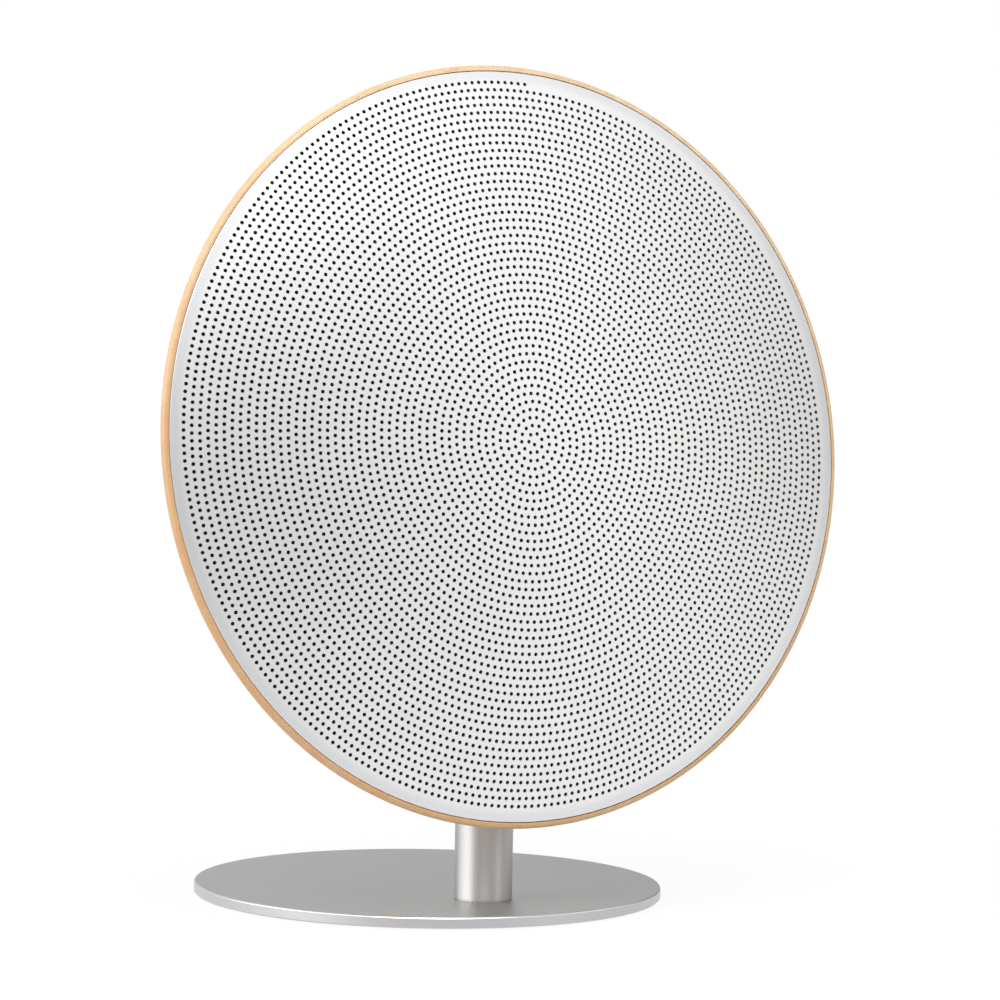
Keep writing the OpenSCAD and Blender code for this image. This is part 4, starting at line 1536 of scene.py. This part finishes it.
@dataclass
class Port:
    """The plate in the bowl's back with the buttons, the light and the charging socket.

    Attributes:
        height: Height of the plate's middle above the head's centre.
        out: Depth of its outer face behind the front plane.
        floor: Depth of the back of its flange.
        inside: Depth of the back of its neck.
        board: Depth of the board's face.
        length: Length of the flange.
        width: Width of the flange.
        neck: Length and width of the neck.
        buttons: Middles of the three buttons.
        button: Radius of a button.
        light: Middle of the light.
        socket: Middle of the socket.
        screws: Distance of the screws from the plate's middle.
        posts: Distance of the board's posts from it.
        post: Inner and outer radius of a post.
        mouth: Length and width of the socket's opening.
        contact: Width and thickness of the socket's contact tongue.
        screw: Radii of a screw's bore at its head and its shank.
        dish: Radius of the hollow of a button's cap.
        collar: Radius and thickness of the collar that keeps a button in.
        ring: Inner and outer radius of the power button's mark.
        bar: Length and width of a bar of the other buttons' marks.
        guide: Radius of the light guide.
    """

    height: float = PLATE_UP
    out: float = -29.3
    floor: float = -28.1
    inside: float = -24.9
    board: float = -21.6
    length: float = 72.0
    width: float = 22.0
    neck: tuple[float, float] = (60.0, 16.0)
    buttons: tuple[float, float, float] = (-18.733, -7.867, 3.0)
    button: float = 3.5
    light: float = 10.567
    socket: float = 18.433
    screws: float = PORT_SCREWS
    posts: float = 27.5
    post: tuple[float, float] = (1.0, 2.2)
    mouth: tuple[float, float] = (9.3, 3.5)
    contact: tuple[float, float] = (6.6, 0.7)
    screw: tuple[float, float] = (2.15, 1.25)
    dish: float = 12.0
    collar: tuple[float, float] = (4.3, 0.75)
    ring: tuple[float, float] = (1.15, 1.45)
    bar: tuple[float, float] = (2.4, 0.4)
    guide: float = 1.0

    @property
    def pose(self) -> Matrix:
        """The frame of the plate, whose Z axis still points out of the grille."""
        return HEAD.matrix @ Matrix.Translation((0, self.height, 0))

    def build(self) -> None:
        """Makes the plate and what sits in it."""
        self._plate()
        for name, x, bars in zip(("power", "volume_down", "volume_up"), self.buttons, (0, 1, 2)):
            self._button(name, x, bars)
        self._socket()
        self._light()

    def _plate(self) -> None:
        """Makes the plate: flange, neck, posts and every opening."""
        ease, low, high = 0.35, self.out, self.out + 0.35
        length, width = self.length, self.width
        piece = Piece("rear_plate", self.pose).skin([
            obround(length - 2 * ease, width - 2 * ease, low),
            obround(length - 0.2 * ease, width - 0.2 * ease, low + 0.3 * ease),
            obround(length, width, high), obround(length, width, self.floor),
            obround(*self.neck, self.floor), obround(*self.neck, self.inside)])
        tools = Piece("openings", self.pose)
        for x in self.buttons:
            self._hole(tools, x, self.button + 0.1, 0.3)
        self._hole(tools, self.light, 1.05, 0.2)
        tools.skin([obround(self.mouth[0] + wider, self.mouth[1] + wider, z, (self.socket, 0))
                    for wider, z in ((0.6, self.out - 1), (0.6, self.out), (0, self.out + 0.3),
                                     (0, self.inside + 1))])
        head, shank = self.screw
        for side in (-1, 1):
            tools.turn([(0, self.out - 1), (head, self.out - 1), (head, self.out),
                        (shank, self.out + 1.2), (shank, self.floor + 1), (0, self.floor + 1)],
                       32, (side * self.screws, 0))
        piece.cut(tools)
        (bore, wall), seat = self.post, self.inside - 0.05
        for side in (-1, 1):
            piece.turn([(bore, seat), (wall, seat), (wall, self.board), (bore, self.board)],
                       32, (side * self.posts, 0), closed=True)
        piece.place(PORT, "port_plate")

    def _hole(self, tools: Piece, x: float, radius: float, ease: float) -> None:
        """Adds a bore with an eased mouth to the cutters.

        Args:
            tools: The cutters' piece.
            x: The bore's middle.
            radius: Its radius.
            ease: Size of the chamfer at its mouth.
        """
        wide = radius + ease
        tools.turn([(0, self.out - 1), (wide, self.out - 1), (wide, self.out),
                    (radius, self.out + ease), (radius, self.inside + 1), (0, self.inside + 1)],
                   64, (x, 0))

    def _button(self, name: str, x: float, bars: int) -> None:
        """Makes a push button with a dished cap and a plain raised mark.

        Args:
            name: Its name without the ending.
            x: Its middle.
            bars: 0 gives a ring, 1 a bar and 2 two crossed bars.
        """
        face, lip = self.out - 0.6, self.inside + 0.05
        dish, r, ease, hollow, steps = self.dish, self.button, 0.3, 0.3, 6
        land = math.sqrt(dish ** 2 - (dish - hollow) ** 2)
        profile = [(0, face + hollow)]
        profile += [(q, face + hollow - dish + math.sqrt(dish ** 2 - q * q))
                    for q in (land * i / steps for i in range(1, steps + 1))]
        profile += arc((r - ease, face + ease), ease, -90, 0, 5)
        wide, thick = self.collar
        profile += [(r, lip), (wide, lip), (wide, lip + thick), (0, lip + thick)]
        piece = Piece(name + "_cap", self.pose).turn(profile, 64, (x, 0))
        low, top = face + 0.4, face + 0.05
        if bars == 0:
            inner, outer = self.ring
            piece.turn([(inner, low), (outer, low), (outer, top), (inner, top)], 48, (x, 0),
                       closed=True)
        for size in (self.bar, self.bar[::-1])[:bars]:
            piece.skin([self._bar(x, *size, low), self._bar(x, *size, top)])
        piece.place(BUTTON, name + "_button", body=name + "_button")

    @staticmethod
    def _bar(x: float, length: float, width: float, z: float) -> Ring:
        """Gives the corners of a level bar."""
        return [Vector((x + i * length / 2, j * width / 2, z))
                for i, j in ((-1, -1), (1, -1), (1, 1), (-1, 1))]

    def _socket(self) -> None:
        """Makes the oval shell of the socket and its contact tongue."""
        at, front, floor = (self.socket, 0), self.out + 0.4, self.board - 1.2
        piece = Piece("charging_shell", self.pose).skin([
            obround(length, width, z, at) for length, width, z in (
                (8.5, 2.7, floor), (8.5, 2.7, front + 0.1), (8.7, 2.9, front),
                (9.0, 3.2, front), (9.2, 3.4, front + 0.1), (9.2, 3.4, self.board))])
        wide, thick = self.contact
        piece.skin([self._bar(self.socket, wide - ease, thick - ease, z) for ease, z in (
            (0.2, self.out + 1.2), (0, self.out + 1.4), (0, floor + 0.2))])
        piece.place(SHIELD, "charging_socket")

    def _light(self) -> None:
        """Makes the light guide with its domed end."""
        r, dome = self.guide, ((0, -0.12), (0.4, -0.1), (0.75, 0), (0.95, 0.15), (1.0, 0.4))
        profile = [(r * share, self.out + z) for share, z in dome]
        profile += [(r, self.board), (0, self.board)]
        Piece("light_pipe", self.pose).turn(profile, 32, (self.light, 0)).place(
            LIGHT, "status_light")


@dataclass
class Viewpoint:
    """The camera, fitted to the hole spiral, the rim, the stem and the base.

    Attributes:
        focal: Focal length in pixels.
        width: Width of the frame in pixels.
        sensor: Width of the sensor in millimetres.
        azimuth: Turn of the view about Z, in radians.
        elevation: Height of the view above the horizon, in radians.
        roll: Turn of the camera about its own axis, in radians.
        offset: The base's top centre seen from the camera: right, down and ahead.
    """

    focal: float = 5237.0
    width: float = 1000.0
    sensor: float = 36.0
    azimuth: float = -0.5021
    elevation: float = 0.0740
    roll: float = -0.0185
    offset: tuple[float, float, float] = (-19.596 * MM, 102.958 * MM, 1413.093 * MM)

    def build(self) -> None:
        """Makes the camera and gives it to the scene."""
        ahead = Vector((-math.sin(self.azimuth) * math.cos(self.elevation),
                        math.cos(self.azimuth) * math.cos(self.elevation),
                        -math.sin(self.elevation)))
        level = ahead.cross(Vector((0, 0, 1))).normalized()
        down = ahead.cross(level)
        c, s = math.cos(self.roll), math.sin(self.roll)
        right, low = c * level + s * down, -s * level + c * down
        x, y, z = self.offset
        target = Vector((0, 0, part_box("base_plate")[1].z))
        data = bpy.data.cameras.new("camera")
        data.sensor_width = self.sensor
        data.lens = self.focal * self.sensor / self.width
        data.clip_start, data.clip_end = 0.05, 50
        camera = bpy.data.objects.new("camera", data)
        axes = Matrix((right, -low, -ahead)).transposed().to_4x4()
        camera.matrix_world = Matrix.Translation(target - x * right - y * low - z * ahead) @ axes
        bpy.context.scene.collection.objects.link(camera)
        bpy.context.scene.camera = camera


@dataclass
class Studio:
    """White floor and backdrop, lit by soft panels all round.

    Attributes:
        reach: Half the floor's width.
        glow: Share of the floor's own white beside the object; the rest shows its shadow.
        white: Strength of that white.
        apart: Distances from the object between which the floor turns all white, in metres.
        paper: Grey level of the floor as paper.
        gloss: Share of the sky's own white that metal shows besides the panels.
        panels: Azimuth from -Y towards +X and elevation in degrees, strength, and how fast
            the light falls off from the middle, for each panel.
    """

    reach: float = 6.0
    glow: float = 0.9
    white: float = 1.02
    apart: tuple[float, float] = (0.1, 0.5)
    paper: float = 0.8
    gloss: float = 0.3
    panels: tuple[tuple[float, float, float, float], ...] = (
        (-135, 8, 1.14, 12), (-90, 8, 3.1, 12), (180, 8, 0.26, 12), (28, 14, 0.61, 40),
        (-120, 32, 2.06, 12), (-80, 32, 0.67, 12), (40, 32, 0.7, 12), (80, 32, 0.6, 12),
        (36, 6, 0.9, 60), (160, 32, 0.59, 12), (28, 34, 0.1, 40), (-30, 58, 5.7, 12),
    )

    def build(self) -> None:
        """Makes the floor and the panels."""
        self._floor()
        self._world()

    def _floor(self) -> None:
        """Makes the floor as one flat sheet; the sky is the backdrop."""
        r = self.reach
        mesh = bpy.data.meshes.new("floor")
        mesh.from_pydata([(-r, -r, 0), (r, -r, 0), (r, r, 0), (-r, r, 0)], [], [(0, 1, 2, 3)])
        floor = bpy.data.objects.new("floor", mesh)
        bpy.context.scene.collection.objects.link(floor)
        material = bpy.data.materials.new("white_floor")
        graph = empty(material)
        seen, shine = self._background(graph)
        away = graph.add("ShaderNodeTexCoord", output="Object").maths("LENGTH")
        share = away.rise(*self.apart, start=self.glow)
        paper = graph.add("ShaderNodeBsdfDiffuse", None, {"Color": shade(WHITE, self.paper)})
        glow = graph.add("ShaderNodeEmission", None, {"Color": WHITE, "Strength": self.white})
        mixed = graph.add("ShaderNodeMixShader", None,
                          {0: seen.maths("MAXIMUM", shine) * share, 1: paper, 2: glow})
        graph.finish("ShaderNodeOutputMaterial", mixed, "Surface")
        mesh.materials.append(material)

    def _world(self) -> None:
        """Makes the panels in the sky, which itself looks white to the camera."""
        world = bpy.data.worlds.new("studio")
        bpy.context.scene.world = world
        graph = empty(world)
        way = graph.add("ShaderNodeTexCoord", output="Generated")
        light = 0.0
        for azimuth, elevation, strength, fall in self.panels:
            turn, rise = math.radians(azimuth), math.radians(elevation)
            middle = (math.sin(turn) * math.cos(rise), -math.cos(turn) * math.cos(rise),
                      math.sin(rise))
            near = way.maths("DOT_PRODUCT", middle).maths("MAXIMUM", 0.0)
            light = near ** fall * strength + light
        seen, shine = self._background(graph)
        strength = seen * (1.0 - light) + light + shine * self.gloss
        sky = graph.add("ShaderNodeBackground", None, {"Color": WHITE, "Strength": strength})
        graph.finish("ShaderNodeOutputWorld", sky, "Surface")

    @staticmethod
    def _background(graph: Graph) -> tuple[Sock, Sock]:
        """Gives masks of the rays that show the background.

        Args:
            graph: The graph of the floor's material or of the world.

        Returns:
            The mask of the camera's and of glass's rays, and the mask of glossy rays.
        """
        path = graph.add("ShaderNodeLightPath", output="Is Camera Ray")
        seen = path.maths("MAXIMUM", path.other("Is Transmission Ray"))
        return seen, path.other("Is Glossy Ray")


def main() -> None:
    """Builds the scene in order and reports each piece."""
    logging.basicConfig(level=logging.INFO, format="%(name)s: %(message)s")
    bpy.context.scene.view_settings.view_transform = "Standard"
    Viewpoint().build()
    Studio().build()
    for part in (Shell(), Stand(), Cloth(), Grille(), Port(), Fasteners()):
        part.build()
    for finish, names in NODE_FINISHES.items():
        for name in names:
            dress(frame["nodes"][name], finish)
            log.info("%s in %s", name, finish.name)


if __name__ == "__main__":
    main()
